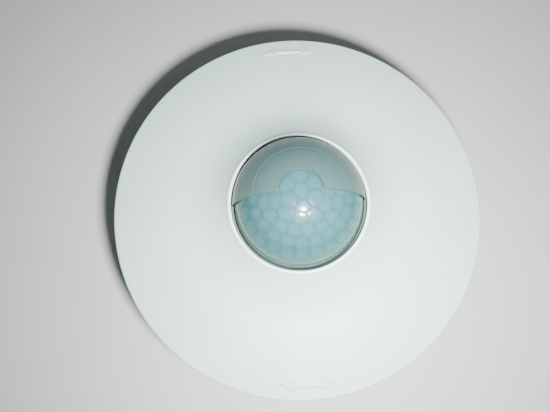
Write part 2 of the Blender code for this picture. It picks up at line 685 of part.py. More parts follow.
def build_terminals():
    width, depth = TERMINAL_SIZE
    height = POWER_BOARD - GAP - TERMINAL_FOOT
    body = block((width, depth, height), (0.0, TERMINAL_Y, TERMINAL_FOOT + height / 2))
    as_part(body, "terminal_block", "terminal")
    for step in range(4):
        x = (step - 1.5) * TERMINAL_PITCH
        cut(body, rod(1.5, TERMINAL_FOOT - 1.0, 9.0, x, TERMINAL_Y - 2.4, 16))
        well = TERMINAL_Y + 2.3
        cut(body, rod(2.1, TERMINAL_FOOT - 1.0, 7.0, x, well, 20))
        screw = turned([(0.0, 6.7), (1.8, 6.7), (1.8, 4.6), (1.5, 4.2), (0.0, 4.2)], 20)
        screw.location = Vector((x, well, 0.0)) * MM
        as_part(screw, f"terminal_screw_{step + 1}", "brass")
        cut(screw, block((5.0, 0.6, 1.2), (x, well, 4.3), 25.0 + 37.0 * step))


def finish_shading():
    """Round faces shade smoothly, edges over thirty degrees stay sharp."""
    for obj in PARTS.objects:
        mesh = obj.data
        mesh.shade_smooth()
        mesh.set_sharp_from_angle(angle=math.radians(30.0))


def build():
    build_cover()
    build_bayonet_ring()
    build_lens()
    build_mask()
    build_lens_mounting()
    build_head()
    build_support_plate()
    build_can()
    build_claws()
    build_sensor_board()
    build_sensors()
    build_pot("time_pot", "time_knob", TIME_AZIMUTH)
    build_pot("light_pot", "light_knob", LUX_AZIMUTH)
    build_switches()
    build_test_switch()
    build_power_board()
    build_terminals()
    finish_shading()


clear_scene()
PARTS = new_collection("motion_detector")
HELPERS = new_collection("helpers")
build()
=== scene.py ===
"""Looks of the flush-mounting ceiling motion detector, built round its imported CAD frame.

Sizes are in millimetres and turned into metres by MM. The frame is the CAD's: +Z out of the ceiling
through the dome, origin at the centre of the insert's flat back, +Y at the masked half of the dome.
"""

import json
import math
from contextlib import contextmanager

import bmesh
import bpy
import numpy as np
from mathutils import Euler, Matrix, Vector


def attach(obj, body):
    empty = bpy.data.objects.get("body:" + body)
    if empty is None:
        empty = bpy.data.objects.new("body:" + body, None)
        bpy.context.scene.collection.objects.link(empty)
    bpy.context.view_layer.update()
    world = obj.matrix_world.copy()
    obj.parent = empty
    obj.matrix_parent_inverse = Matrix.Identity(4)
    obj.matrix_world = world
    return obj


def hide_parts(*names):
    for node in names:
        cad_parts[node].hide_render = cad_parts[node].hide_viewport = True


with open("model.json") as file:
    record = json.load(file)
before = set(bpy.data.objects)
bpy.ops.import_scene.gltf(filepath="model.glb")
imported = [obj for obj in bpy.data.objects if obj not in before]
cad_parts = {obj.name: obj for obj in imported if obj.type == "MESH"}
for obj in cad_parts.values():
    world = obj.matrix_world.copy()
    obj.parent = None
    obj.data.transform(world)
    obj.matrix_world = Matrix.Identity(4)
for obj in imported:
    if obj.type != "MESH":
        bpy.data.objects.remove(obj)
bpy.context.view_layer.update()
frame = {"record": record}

MM = 0.001
SQUARE = ((1, 1), (-1, 1), (-1, -1), (1, -1))  # corners, once round

# Camera of the photograph
CAMERA_AT = (-8.407, -32.131, 204.84)
CAMERA_TURN = (10.9995, -0.0771, -2.8017)  # degrees
CAMERA_LENS = 39.27
CAMERA_SENSOR = 36

# Cover
CEILING = 29
COVER_RADIUS = 54
RIM_HEIGHT = 1.5
RIM_ROUND = 0.8
CROWN = 6.7
FLARE = 6.44
FLARE_START = 35
FLARE_POWER = 2.6
COLLAR_RADIUS = 18.9
COLLAR_WALL = 1.2
LIP = 0.5
LIP_LEAN = 0.12  # how far the lip leans in over the gap round the dome
LIP_TOP = 43.3
COVER_WALL = 1.5
SLEEVE_FOOT = 37.4
POST_RADIUS = 36.8
POST_FOOT = 30.6
RIGHT_ANGLES = (0, 90, 180, 270)

# Raised double arrows on the cover
ARROW_RADIUS = 49.7
ARROW_AZIMUTHS = (90, 270)
ARROW_OUTLINE = ((3.9, -0.6), (3.4, -1.4), (7.9, 0), (3.4, 1.4), (3.9, 0.6))
ARROW_RELIEF = 0.3
ARROW_EDGE = 0.17  # half the width of the moulded flank
ARROW_REACH = 9.6  # half the width of the finely meshed stretch round each arrow

# Lens dome
DOME_CENTRE = 40.4
DOME_RADIUS = 17.9
DOME_WALL = 0.6
FLANGE_RADIUS = 20.5
FLANGE_UNDER = 34.8
FLANGE_TOP = 35.8
# Rings of lens cells: polar angle of the middle, number, azimuth of one cell, all in degrees
CELL_RINGS = (
    (57.6, 24, 268.4), (45.3, 21, 268), (33.9, 17, 277.1), (24, 11, 264), (13, 6, 273), (0, 1, 0),
)
CELL_END = 65.2  # polar angle where the outer cells end in scallops
CELL_SCALLOP = 2.6
CELL_BULGE = 0.035
CELL_GROOVE = 0.02
CELL_LINE = 0.34  # half-width of the line between two cells

# Mask over half of the dome
MASK_INNER = 18.2
MASK_OUTER = 18.6
MASK_OPENING = 17.6
MASK_FOOT = 36.1
MASK_RING_TOP = 41
MASK_RIDGE = 40.9  # polar angle of the break line
MASK_SCORES = ((61, 0.10), (120.5, 0.055))  # azimuth and depth of the score lines
MASK_CORNER = 1.3  # rounding where the opening meets the straight edges
MASK_RING_INNER = 17.94
MASK_RING_OUTER = 18.76

# Stack under the cover
RETAINER = ((21.8, 37), (21.8, 33.9), (20.8, 33.9), (20.8, 36.1), (19, 36.1), (19, 37))
CLIP_RADIUS = 21.3
GASKET = ((20.2, 34.5), (20.2, 33.9), (18.3, 33.9), (18.3, 34.5))
HEAD_RADIUS = 33
HEAD_TOP = 33
HEAD_UNDER = 31.8
HEAD = ((22.3, 33.6), (22.3, HEAD_TOP), (HEAD_RADIUS, HEAD_TOP), (HEAD_RADIUS, 30.3), (31.5, 30.3),
        (31.5, HEAD_UNDER), (15.5, HEAD_UNDER), (15.5, 33.6))
DIAGONALS = (45, 135, 225, 315)
LUG_HALF_ANGLE = 6
HOOK_AZIMUTHS = (-24, 24, 156, 204)
SCREW_WINDOWS = (90, 270)
SETTING_RADIUS = 26.2
SETTING_BASE = 31.8
SETTING_TOP = 33.9
TIME_AZIMUTH, LUX_AZIMUTH, SWITCH_AZIMUTH, TEST_AZIMUTH = DIAGONALS
POT_SIZE = 6.5
SWITCH_PITCH = 2.5
SWITCH_LENGTH = 9.1
TICK_RADIUS = 5.6
RING_INNER, RING_OUTER, RING_UNDER, RING_TOP = 35, 38.6, 30.3, 32.2
CLAW_RADIUS = 26.9
CLAW_SCREW_RADIUS = 29.3
CLAW_WIDTH = 12
CLAW_LOW, CLAW_HIGH, CLAW_PIVOT = 8.4, 28.4, 27.9
CAN_RADIUS = 26
BOSSES = ((16.5, 7), (-16.5, 7), (16.5, -13), (-16.5, -13))
TERMINAL_Y = -9
TERMINAL_LOW, TERMINAL_HIGH = 0.6, 15.7
TERMINAL_XS = (-7.5, -2.5, 2.5, 7.5)
BOARD_TOP = 17.9  # foot of the parts on the power board
CARRIER = ((0, 38), (5.2, 38), (14.6, 33.2), (14.6, 31.8), (0, 31.8))


# Mesh tools

def linked(name, mesh, smooth=40):
    """An object with the mesh, shaded smooth. Edges sharper than smooth degrees stay sharp."""
    obj = bpy.data.objects.new(name, mesh)
    bpy.context.scene.collection.objects.link(obj)
    return shade(obj, smooth)


@contextmanager
def editing(mesh):
    """The mesh as a BMesh, which is written back at the end."""
    shape = bmesh.new()
    shape.from_mesh(mesh)
    yield shape
    shape.to_mesh(mesh)
    shape.free()


def new_object(name, points, faces, smooth=40):
    """A mesh object from points in millimetres."""
    mesh = bpy.data.meshes.new(name)
    mesh.from_pydata((np.asarray(points, float) * MM).tolist(), [], [tuple(map(int, f)) for f in faces])
    with editing(mesh) as shape:
        bmesh.ops.remove_doubles(shape, verts=shape.verts, dist=1e-7)
        bmesh.ops.dissolve_degenerate(shape, edges=shape.edges, dist=1e-8)
        bmesh.ops.delete(shape, geom=[e for e in shape.edges if not e.link_faces], context="EDGES")
        bmesh.ops.recalc_face_normals(shape, faces=shape.faces)
    mesh.validate()
    return linked(name, mesh, smooth)


def shade(obj, smooth=40):
    obj.data.shade_smooth()
    obj.data.set_sharp_from_angle(angle=math.radians(smooth))
    return obj


def polar(radius, azimuth):
    angle = math.radians(azimuth)
    return radius * math.cos(angle), radius * math.sin(angle)


def offset(radius, azimuth, along, across):
    """The point at radius and azimuth, moved outward by along and sideways by across."""
    x, y = polar(radius, azimuth)
    turn = math.radians(azimuth)
    return (x + along * math.cos(turn) - across * math.sin(turn),
            y + along * math.sin(turn) + across * math.cos(turn))


def arc(centre_radius, centre_height, radius, start, end, count):
    """Points of a circular stretch of a profile, angles in degrees from +r towards +z."""
    angles = np.radians(np.linspace(start, end, count + 1))
    return [(centre_radius + radius * math.cos(a), centre_height + radius * math.sin(a)) for a in angles]


def smoothstep(value):
    t = np.clip(value, 0, 1)
    return t * t * (3 - 2 * t)


def closed_grid(points):
    """Faces of a closed surface of revolution whose rows of points, all round, form a closed section."""
    rows, columns = points.shape[:2]
    index = np.arange(rows * columns).reshape(rows, columns)
    below, right = np.roll(index, -1, 0), np.roll(index, -1, 1)
    corner = np.roll(below, -1, 1)
    return np.stack([index, below, corner, right], -1).reshape(-1, 4)


def rounded(section, radius):
    """The section with its corners rounded, apart from corners on the axis."""
    points = []
    for i, corner in enumerate(section):
        here, before, after = (np.array(section[j % len(section)], float) for j in (i, i - 1, i + 1))
        back, ahead = before - here, after - here
        back_length, ahead_length = np.hypot(*back), np.hypot(*ahead)
        flat = np.dot(back, ahead) / (back_length * ahead_length) < -0.97
        if corner[0] == 0 or flat or radius == 0:
            points.append(tuple(here))
            continue
        reach = min(radius, 0.45 * back_length, 0.45 * ahead_length)
        start, end = here + back / back_length * reach, here + ahead / ahead_length * reach
        for t in (0, 0.25, 0.5, 0.75, 1):
            points.append(tuple((1 - t) ** 2 * start + 2 * t * (1 - t) * here + t * t * end))
    return points


def lathe(name, section, steps=128, edge=0.2, at=(0, 0), flutes=None):
    """A turned piece. Its section, (radius, height) pairs, is closed or ends on the axis. Flutes, (number,
    depth, least radius, low, high), are grooves along the outside."""
    angles = np.linspace(0, math.tau, steps, endpoint=False)
    radii, heights = spun(rounded(list(section), edge), angles)
    if flutes:
        number, depth, least, low, high = flutes
        fluted = (radii > least) & (heights >= low) & (heights <= high)
        radii = radii - fluted * depth * (0.5 - 0.5 * np.cos(number * angles))
    return turned(name, radii, heights, angles, at)


def box(name, size, centre, azimuth=0, edge=0, segments=2):
    """A block turned about Z, with rounded edges where edge isn't 0."""
    mesh = bpy.data.meshes.new(name)
    with editing(mesh) as shape:
        bmesh.ops.create_cube(shape, size=1)
        bmesh.ops.scale(shape, vec=size, verts=shape.verts)
        if edge:
            bmesh.ops.bevel(shape, geom=shape.edges[:], offset=edge, segments=segments, profile=0.5,
                            affect="EDGES")
        turn = Matrix.Translation(centre) @ Matrix.Rotation(math.radians(azimuth), 4, "Z")
        shape.transform(Matrix.Scale(MM, 4) @ turn)
    return linked(name, mesh)


def polar_box(name, size, radius, azimuth, low, edge=0):
    """A block (radial, tangential, height) whose centre is at radius and azimuth and whose foot is at low."""
    return box(name, size, (*polar(radius, azimuth), low + size[2] / 2), azimuth, edge)


def tube(name, points):
    """A closed piece whose points come in rows of four, each row once round."""
    rows = len(points) // 4
    faces = [(4 * r + i, 4 * r + (i + 1) % 4, 4 * r + 4 + (i + 1) % 4, 4 * r + 4 + i)
             for r in range(rows - 1) for i in range(4)]
    return new_object(name, points, faces + [(0, 1, 2, 3), tuple(range(4 * rows - 4, 4 * rows))])


def sector(name, inner, outer, low, high, azimuth, half_angle, steps=8):
    """A stretch of a flat ring, centred on azimuth."""
    points = []
    for step in range(steps + 1):
        angle = math.radians(azimuth - half_angle + 2 * half_angle * step / steps)
        points += [(r * math.cos(angle), r * math.sin(angle), z)
                   for r, z in ((outer, high), (outer, low), (inner, low), (inner, high))]
    return tube(name, points)


def window(size, radius, azimuth, low, top, chamfer=0.16):
    """A cutter (radial, tangential) for a straight hole whose edge at the height top is chamfered."""
    points = []
    for z, more in ((low, 0), (top - chamfer, 0), (top + chamfer, 2 * chamfer), (top + 1.5, 2 * chamfer)):
        points += [(*offset(radius, azimuth, a * (size[0] / 2 + more), b * (size[1] / 2 + more)), z)
                   for a, b in SQUARE]
    return tube("window", points)


def drop(obj):
    bpy.data.objects.remove(obj, do_unlink=True)


def moved(obj, matrix):
    obj.data.transform(matrix)
    return obj


def joined(name, *objects):
    """One object made of several closed shells."""
    mesh = bpy.data.meshes.new(name)
    with editing(mesh) as shape:
        for obj in objects:
            shape.from_mesh(obj.data)
            drop(obj)
    return linked(name, mesh)


def boolean(obj, others, operation):
    for other in others:
        step = obj.modifiers.new(operation, "BOOLEAN")
        step.operation = operation
        step.solver = "EXACT"
        step.object = other
    applied(obj)
    for other in others:
        drop(other)
    return shade(obj)


def cut(obj, *cutters):
    return boolean(obj, cutters, "DIFFERENCE")


def fuse(obj, *others):
    return boolean(obj, others, "UNION")


def lie_down(obj, centre, azimuth):
    """Turns a piece made along Z so that it lies flat at centre, pointing at azimuth."""
    turn = Matrix.Rotation(math.radians(azimuth), 4, "Z") @ Matrix.Rotation(math.pi / 2, 4, "Y")
    return moved(obj, Matrix.Translation(Vector(centre) * MM) @ turn)


def cylinder(name, radius, low, high, at=(0, 0), steps=32, edge=0):
    return lathe(name, [(0, high), (radius, high), (radius, low), (0, low)], steps, edge, at)


def spun(section, angles):
    """Radii and heights of a section, one row a point and one column an angle."""
    section = np.array(section)
    return section[:, :1] + 0 * angles[None, :], section[:, 1:] + 0 * angles[None, :]


def turned_points(radii, heights, angles):
    """Grid of points (row, column, xyz), with angles in radians."""
    return np.stack([radii * np.cos(angles), radii * np.sin(angles), heights], -1)


def turned(name, radii, heights, angles, at=(0, 0), smooth=40):
    """The closed piece whose radii and heights have a row for each point of its section."""
    points = turned_points(radii, heights, angles)
    return new_object(name, points.reshape(-1, 3) + np.array([*at, 0]), closed_grid(points), smooth)


# Cover

def cover_height(radius):
    """Height of the cover's outer face: a shallow crown that flares up to the collar."""
    lean = math.atan(2 * CROWN / COVER_RADIUS)
    edge = COVER_RADIUS - RIM_ROUND * (1 - math.sin(lean))
    edge_height = CEILING + RIM_HEIGHT + RIM_ROUND * math.cos(lean)
    base = edge_height - CROWN * (1 - (edge / COVER_RADIUS) ** 2)
    inward = max(0, FLARE_START - radius) / (FLARE_START - COLLAR_RADIUS - LIP)
    return base + CROWN * (1 - (radius / COVER_RADIUS) ** 2) + FLARE * inward ** FLARE_POWER


def cover_slope(radius):
    step = 0.01
    return (cover_height(radius - step) - cover_height(radius + step)) / (2 * step)


def cover_underside(radius):
    return cover_height(radius) - COVER_WALL * math.hypot(1, cover_slope(radius))


def cover_section():
    """The section from the collar's lip out to the rim and back underneath."""
    lip = arc(COLLAR_RADIUS + LIP - LIP_LEAN, LIP_TOP - LIP, LIP, 180, 90, 7)
    lip += arc(COLLAR_RADIUS + LIP, LIP_TOP - LIP, LIP, 85, 35, 4)
    blend = [(19.95, 42.90), (20.1, 42.70), (20.3, 42.44)]
    near = np.arange(20.5, 30, 0.5)
    middle = np.arange(30, ARROW_RADIUS - 2.6, 1)
    band = np.arange(ARROW_RADIUS - 2.1, ARROW_RADIUS + 2.1, 0.12)
    face = [(r, cover_height(r)) for r in [*near, *middle, *band, 52.2, 52.7, 53.1]]
    lean = math.degrees(math.atan(2 * CROWN / COVER_RADIUS))
    rim = arc(COVER_RADIUS - RIM_ROUND, CEILING + RIM_HEIGHT, RIM_ROUND, 90 - lean, 0, 9)
    foot = [(53.97, 30), (53.92, 29.3), (53.86, 29.08), (53.7, CEILING), (52.4, CEILING), (52.15, 29.12)]
    under = [(r, cover_underside(r)) for r in (51.9, 51.6, 51, 49, 46, 43, 40, 36, 33, 31,
                                               29, 27.5, 26, 24.5, 23.5, 22.6, 21.8, 21.2)]
    sleeve_outer = COLLAR_RADIUS + COLLAR_WALL
    sleeve = [(20.5, 39.6), (sleeve_outer + 0.1, 38.9), (sleeve_outer, SLEEVE_FOOT + 0.2),
              (sleeve_outer - 0.2, SLEEVE_FOOT), (COLLAR_RADIUS + 0.2, SLEEVE_FOOT),
              (COLLAR_RADIUS, SLEEVE_FOOT + 0.2), (COLLAR_RADIUS, 39), (COLLAR_RADIUS, 41.2),
              (COLLAR_RADIUS - 0.5 * LIP_LEAN, 41.5), (COLLAR_RADIUS - LIP_LEAN, 41.9)]
    return lip + blend + face + rim + foot + under + sleeve


def distance_to_outline(x, y, corners):
    """Distance of each point to a closed outline, negative inside it."""
    nearest = np.full(x.shape, 1e9)
    inside = np.zeros(x.shape, bool)
    for (ax, ay), (bx, by) in zip(corners, corners[1:] + corners[:1]):
        ex, ey = bx - ax, by - ay
        t = np.clip(((x - ax) * ex + (y - ay) * ey) / (ex * ex + ey * ey), 0, 1)
        nearest = np.minimum(nearest, np.hypot(x - ax - t * ex, y - ay - t * ey))
        if ay != by:
            inside ^= ((ay > y) != (by > y)) & (x < ex * (y - ay) / (by - ay) + ax)
    return np.where(inside, -nearest, nearest)


def arrow_relief(radius, angle):
    """How far the cover's face stands proud at points near an arrow, 0 elsewhere."""
    corners = list(ARROW_OUTLINE) + [(-along, -across) for along, across in ARROW_OUTLINE]
    relief = np.zeros(radius.shape)
    for azimuth in ARROW_AZIMUTHS:
        turn = (angle - math.radians(azimuth) + math.pi) % math.tau - math.pi
        distance = distance_to_outline(turn * ARROW_RADIUS, radius - ARROW_RADIUS, corners)
        relief = np.maximum(relief, ARROW_RELIEF * smoothstep((ARROW_EDGE - distance) / (2 * ARROW_EDGE)))
    return relief


def arrow_flank(x, y, z):
    """Share of the moulded flank round the arrows, 1 in its middle."""
    share = arrow_relief(np.hypot(x, y), np.arctan2(y, x)) / ARROW_RELIEF
    return 4 * share * (1 - share) * (z > 31)


def cover_angles():
    """Azimuths of the cover's columns in radians, close together round the arrows."""
    reach = math.degrees(ARROW_REACH / ARROW_RADIUS)
    fine, coarse = 0.13, 1.5
    angles = []
    for azimuth in ARROW_AZIMUTHS:
        count = round(2 * reach / fine)
        angles += list(np.linspace(azimuth - reach, azimuth + reach, count, endpoint=False))
        rest = round((180 - 2 * reach) / coarse)
        angles += list(np.linspace(azimuth + reach, azimuth + 180 - reach, rest, endpoint=False))
    return np.radians(np.array(angles))


def build_cover():
    angles = cover_angles()
    radii, heights = spun(cover_section(), angles)
    on_face = (np.abs(radii - ARROW_RADIUS) < 2.2) & (heights > 31) & (
        np.abs(heights - np.vectorize(cover_height)(radii)) < 1e-6)
    relief = np.where(on_face, arrow_relief(radii, angles[None, :] + 0 * radii), 0)
    lean = np.arctan(2 * CROWN * radii / COVER_RADIUS ** 2)
    radii, heights = radii + relief * np.sin(lean), heights + relief * np.cos(lean)
    shell = turned("cover_shell", radii, heights, angles, smooth=50)
    whole = joined("cover_shell", shell, *cover_posts(), *cover_ribs())
    # The marks carry the painted shade along the arrows' flanks.
    return paint(shade(whole, 50), arrow_flank)


# Dome and mask

def unit_vectors(polar_angle, azimuth):
    return np.stack([
        np.sin(polar_angle) * np.cos(azimuth), np.sin(polar_angle) * np.sin(azimuth), np.cos(polar_angle),
    ], -1)


def cell_centres():
    centres = []
    for polar_angle, count, azimuth in CELL_RINGS:
        for step in range(count):
            centres.append((math.radians(polar_angle), math.radians(azimuth + 360 * step / count)))
    return np.array(centres)


def cell_borders(polar_angle, azimuth):
    """Distance in mm of each point of the dome to the nearest border of a lens cell, negative past the cells,
    and to the nearest corner where three cells meet."""
    centres = cell_centres()
    where = unit_vectors(polar_angle, azimuth)
    towards = unit_vectors(centres[:, 0], centres[:, 1])
    angles = np.sort(np.arccos(np.clip(where @ towards.T, -1, 1)), -1)
    border = DOME_RADIUS * (angles[..., 1] - angles[..., 0]) / 2
    corner = DOME_RADIUS * (angles[..., 2] - angles[..., 0]) / 2
    _, count, first = CELL_RINGS[0]
    across = ((np.degrees(azimuth) - first) * count / 360 + 0.5) % 1 - 0.5
    end = np.radians(CELL_END - CELL_SCALLOP * (1 - np.sqrt(np.clip(1 - (2 * across) ** 2, 0, 1))))
    return np.minimum(border, DOME_RADIUS * (end - polar_angle)), corner


def build_lens():
    """The milky dome: cells bulge a little between fine grooves, and the flange lies under the retainer."""
    columns = 432
    angles = np.linspace(0, math.tau, columns, endpoint=False)
    tilt = np.radians(np.concatenate([np.linspace(0.05, 78, 105), np.linspace(79, 90, 10)]))
    grid_tilt, grid_angle = np.meshgrid(tilt, angles, indexing="ij")
    border, corner = cell_borders(grid_tilt, grid_angle)
    in_cell = border > 0
    crown = 1 - (1 - np.clip(border / 1.5, 0, 1)) ** 2
    sink = np.where(in_cell, CELL_BULGE * (1 - crown), CELL_BULGE * 0.5 * smoothstep(-border / 0.5))
    sink = sink + CELL_GROOVE * np.exp(-(border / (CELL_LINE * 0.8)) ** 2)
    radius = DOME_RADIUS - sink
    dome = unit_vectors(grid_tilt, grid_angle) * radius[..., None] + np.array([0, 0, DOME_CENTRE])
    inner = DOME_RADIUS - DOME_WALL
    below = [(DOME_RADIUS - CELL_BULGE * 0.5, z) for z in (39.2, 38.2, 37, 36.3)]
    fillet = arc(DOME_RADIUS + 0.3, FLANGE_TOP + 0.3, 0.32, 180, 270, 3)
    flange = arc(FLANGE_RADIUS - 0.2, FLANGE_TOP - 0.2, 0.2, 90, 0, 3) + arc(
        FLANGE_RADIUS - 0.2, FLANGE_UNDER + 0.2, 0.2, 0, -90, 3)
    inside = [(inner, FLANGE_UNDER), (inner, 36.5), (inner, 38.5)] + arc(0, DOME_CENTRE, inner, 0, 89.9, 24)
    rest = turned_points(*spun(below + fillet + flange + inside, angles), angles)
    points = np.concatenate([dome, rest])
    # Colour marks for the lens material: painted shade along the grooves and at the corners where cells meet,
    # painted light in the middle of each cell.
    line = np.exp(-(border / CELL_LINE) ** 2)
    middle = np.where(in_cell, smoothstep(border / 1.5), 0)
    junction = np.exp(-(corner / 0.55) ** 2) * (border > -0.2)
    cells = np.stack([line, middle, junction], -1)
    cells = np.concatenate([cells, np.zeros((len(rest), columns, 3))])
    # The rows don't close over the pole: the last inner row and the first outer row are capped apart.
    rows = len(points)
    index = np.arange(rows * columns).reshape(rows, columns)
    quads = np.stack([
        index[:-1], index[1:], np.roll(index, -1, 1)[1:], np.roll(index, -1, 1)[:-1],
    ], -1).reshape(-1, 4)
    mesh = bpy.data.meshes.new("lens_shell")
    faces = [tuple(map(int, face)) for face in (*quads, index[0], index[-1][::-1])]
    mesh.from_pydata((points.reshape(-1, 3) * MM).tolist(), [], faces)
    paint = mesh.attributes.new("cells", "FLOAT_COLOR", "POINT")
    colours = np.concatenate([cells.reshape(-1, 3), np.ones((rows * columns, 1))], -1)
    paint.data.foreach_set("color", colours.astype(np.float32).ravel())
    with editing(mesh) as shape:
        bmesh.ops.recalc_face_normals(shape, faces=shape.faces)
    return linked("lens_shell", mesh, 50)


def mask_path():
    """Rows of the mask from its foot up over the dome: (polar angle or None, height or None)."""
    ridge = np.arange(MASK_RIDGE - 1.6, MASK_RIDGE + 1.61, 0.2)
    tilts = [t for t in np.arange(87, MASK_OPENING + 0.9, -1) if abs(t - MASK_RIDGE) > 1.7]
    tilts = sorted([*tilts, *ridge, MASK_OPENING + 0.6, MASK_OPENING + 0.3, MASK_OPENING], reverse=True)
    ring_tilt = math.degrees(math.acos((MASK_RING_TOP - DOME_CENTRE) / MASK_OUTER))
    return [MASK_FOOT, MASK_FOOT + 0.5, 38, 39.2], [90, ring_tilt, *tilts]


def mask_opening(azimuth):
    """Polar angle in degrees of the mask's inner edge, which is rounded into the straight edges."""
    edge = MASK_OUTER * math.sin(math.radians(MASK_OPENING))
    off = np.clip(edge * np.abs(np.sin(azimuth)), 0, MASK_CORNER)
    recess = MASK_CORNER - np.sqrt(MASK_CORNER ** 2 - (MASK_CORNER - off) ** 2)
    return np.degrees(np.arcsin((edge + recess) / MASK_OUTER))


def build_mask():
    """A thin shell over half of the dome on a full ring, with a break line and two score lines moulded in."""
    heights, tilts = mask_path()
    wide = list(np.arange(0, 180.01, 1))
    for score, _ in MASK_SCORES:
        wide = [a for a in wide if abs(a - score) > 1.6]
        wide += list(np.arange(score - 1.6, score + 1.61, 0.2))
    wide = sorted(wide)
    angles = np.radians(np.array(wide + list(np.arange(182, 359.9, 2))))
    covered = len(wide)
    rows_straight, rows = len(heights), len(heights) + len(tilts)
    columns = len(angles)
    degrees = np.degrees(angles)
    score = np.zeros(columns)
    for azimuth, depth in MASK_SCORES:
        off = (degrees - azimuth) * math.radians(1) * MASK_OUTER
        score = np.maximum(score, depth * np.exp(-(off / 0.20) ** 2))

    def surface(radius, outward):
        points = np.zeros((rows, columns, 3))
        for row in range(rows):
            if row < rows_straight:
                r = np.full(columns, MASK_RING_OUTER if outward else MASK_RING_INNER)
                points[row] = turned_points(r, 0 * angles + heights[row], angles)
                continue
            tilt = tilts[row - rows_straight]
            past = (tilt - MASK_RIDGE) * math.radians(1) * MASK_OUTER
            ridge = math.exp(-(past / 0.22) ** 2)
            relief = (-score * (tilt < 87.5) - 0.09 * ridge) if outward else 0 * score
            foot = (MASK_RING_OUTER - MASK_OUTER) * smoothstep((tilt - 82) / 6) if outward else 0
            r = radius + relief + foot
            yields = 30  # rows above this polar angle give way to the rounded opening
            share = np.clip((yields - tilt) / (yields - MASK_OPENING), 0, 1)
            tilt_here = np.radians(tilt + share * (mask_opening(angles) - MASK_OPENING))
            points[row] = unit_vectors(tilt_here, angles) * r[:, None]
            points[row, :, 2] += DOME_CENTRE
        return points

    outer, inner = surface(MASK_OUTER, True), surface(MASK_INNER, False)
    outer_index = np.arange(rows * columns).reshape(rows, columns)
    inner_index = outer_index + rows * columns
    faces = []
    ring_row = rows_straight + 1
    for row in range(rows - 1):
        for column in range(columns):
            after = (column + 1) % columns
            both = column < covered - 1
            if row >= ring_row and not both:
                continue
            a, b = outer_index[row], outer_index[row + 1]
            faces.append((a[column], a[after], b[after], b[column]))
            a, b = inner_index[row], inner_index[row + 1]
            faces.append((a[column], b[column], b[after], a[after]))
            if row >= ring_row and column in (0, covered - 2):
                edge = column if column == 0 else after
                faces.append((outer_index[row][edge], outer_index[row + 1][edge],
                              inner_index[row + 1][edge], inner_index[row][edge]))
    for column in range(columns):
        after = (column + 1) % columns
        faces.append((outer_index[0][column], inner_index[0][column],
                      inner_index[0][after], outer_index[0][after]))
        top = rows - 1 if column < covered - 1 else ring_row
        faces.append((outer_index[top][column], outer_index[top][after], inner_index[top][after],
                      inner_index[top][column]))
    points = np.concatenate([outer.reshape(-1, 3), inner.reshape(-1, 3)])
    used = np.unique(np.array(faces))
    renumber = np.zeros(len(points), int)
    renumber[used] = np.arange(len(used))
    obj = new_object("zone_mask", points[used], renumber[np.array(faces)], 35)
    return soften(obj, 0.10, 2, 60, tidy=False)


def applied(obj):
    """Turns the object's modifiers into plain mesh."""
    bpy.context.view_layer.update()
    evaluated = obj.evaluated_get(bpy.context.evaluated_depsgraph_get())
    mesh = bpy.data.meshes.new_from_object(evaluated)
    mesh.name = obj.name
    obj.modifiers.clear()
    obj.data = mesh
    return obj


def soften(obj, width, segments=2, angle=40, tidy=True):
    """Rounds the object's sharp edges, once flat stretches that a cut left in slivers are one face again."""
    if tidy:
        with editing(obj.data) as shape:
            bmesh.ops.remove_doubles(shape, verts=shape.verts, dist=2e-6)
            bmesh.ops.dissolve_limit(shape, angle_limit=math.radians(0.6), verts=shape.verts,
                                     edges=shape.edges, use_dissolve_boundaries=False, delimit=set())
    bevel = obj.modifiers.new("Soften", "BEVEL")
    bevel.width = width * MM
    bevel.segments = segments
    bevel.limit_method = "ANGLE"
    bevel.angle_limit = math.radians(angle)
    bevel.use_clamp_overlap = False
    bevel.harden_normals = False
    return applied(obj)


def paint(obj, test):
    """Marks the points for which test holds, so that a material can colour them apart."""
    points = np.empty(len(obj.data.vertices) * 3, np.float32)
    obj.data.vertices.foreach_get("co", points)
    marks = np.array(test(*(points.reshape(-1, 3).T / MM)), np.float32)
    layer = obj.data.attributes.new("marked", "FLOAT", "POINT")
    layer.data.foreach_set("value", np.ascontiguousarray(marks))
    return obj


# Lens mounting, head and bayonet

def cover_posts():
    """The four posts under the cover, whose feet enter the bayonet ring."""
    size = (1.6, 6, cover_underside(POST_RADIUS) + 0.8 - POST_FOOT)
    return [polar_box("post", size, POST_RADIUS, azimuth, POST_FOOT, 0.25) for azimuth in RIGHT_ANGLES]


def cover_ribs():
    """Low stiffening ribs on the cover's underside, between the posts and the rim."""
    pieces = []
    for step in range(24):
        azimuth = math.radians(7.5 + 15 * step)
        points = []
        for radius in np.linspace(40.5, 51, 8):
            high = cover_underside(radius) + 0.4
            low = cover_underside(radius) - 0.9 + 0.9 * max(0, (radius - 47) / 4)
            for side, z in ((-0.35, low), (-0.35, high), (0.35, high), (0.35, low)):
                turn = azimuth + side / radius
                points.append((radius * math.cos(turn), radius * math.sin(turn), z))
        pieces.append(tube("rib", points))
    return pieces


def build_retainer():
    ring = lathe("retainer_ring", RETAINER, 240, 0.18, flutes=(60, 0.16, 21.7, 34.2, 36.7))
    clips = []
    for azimuth in RIGHT_ANGLES:
        clips += [polar_box("clip", (0.8, 4, 2.8), CLIP_RADIUS, azimuth, HEAD_UNDER, 0.15),
                  polar_box("nose", (0.35, 3.6, 0.6), CLIP_RADIUS + 0.4, azimuth, HEAD_UNDER + 0.05, 0.1)]
    return joined("retainer_ring", ring, *clips)


def build_gasket():
    return lathe("foam_ring", GASKET, 160, 0.22)


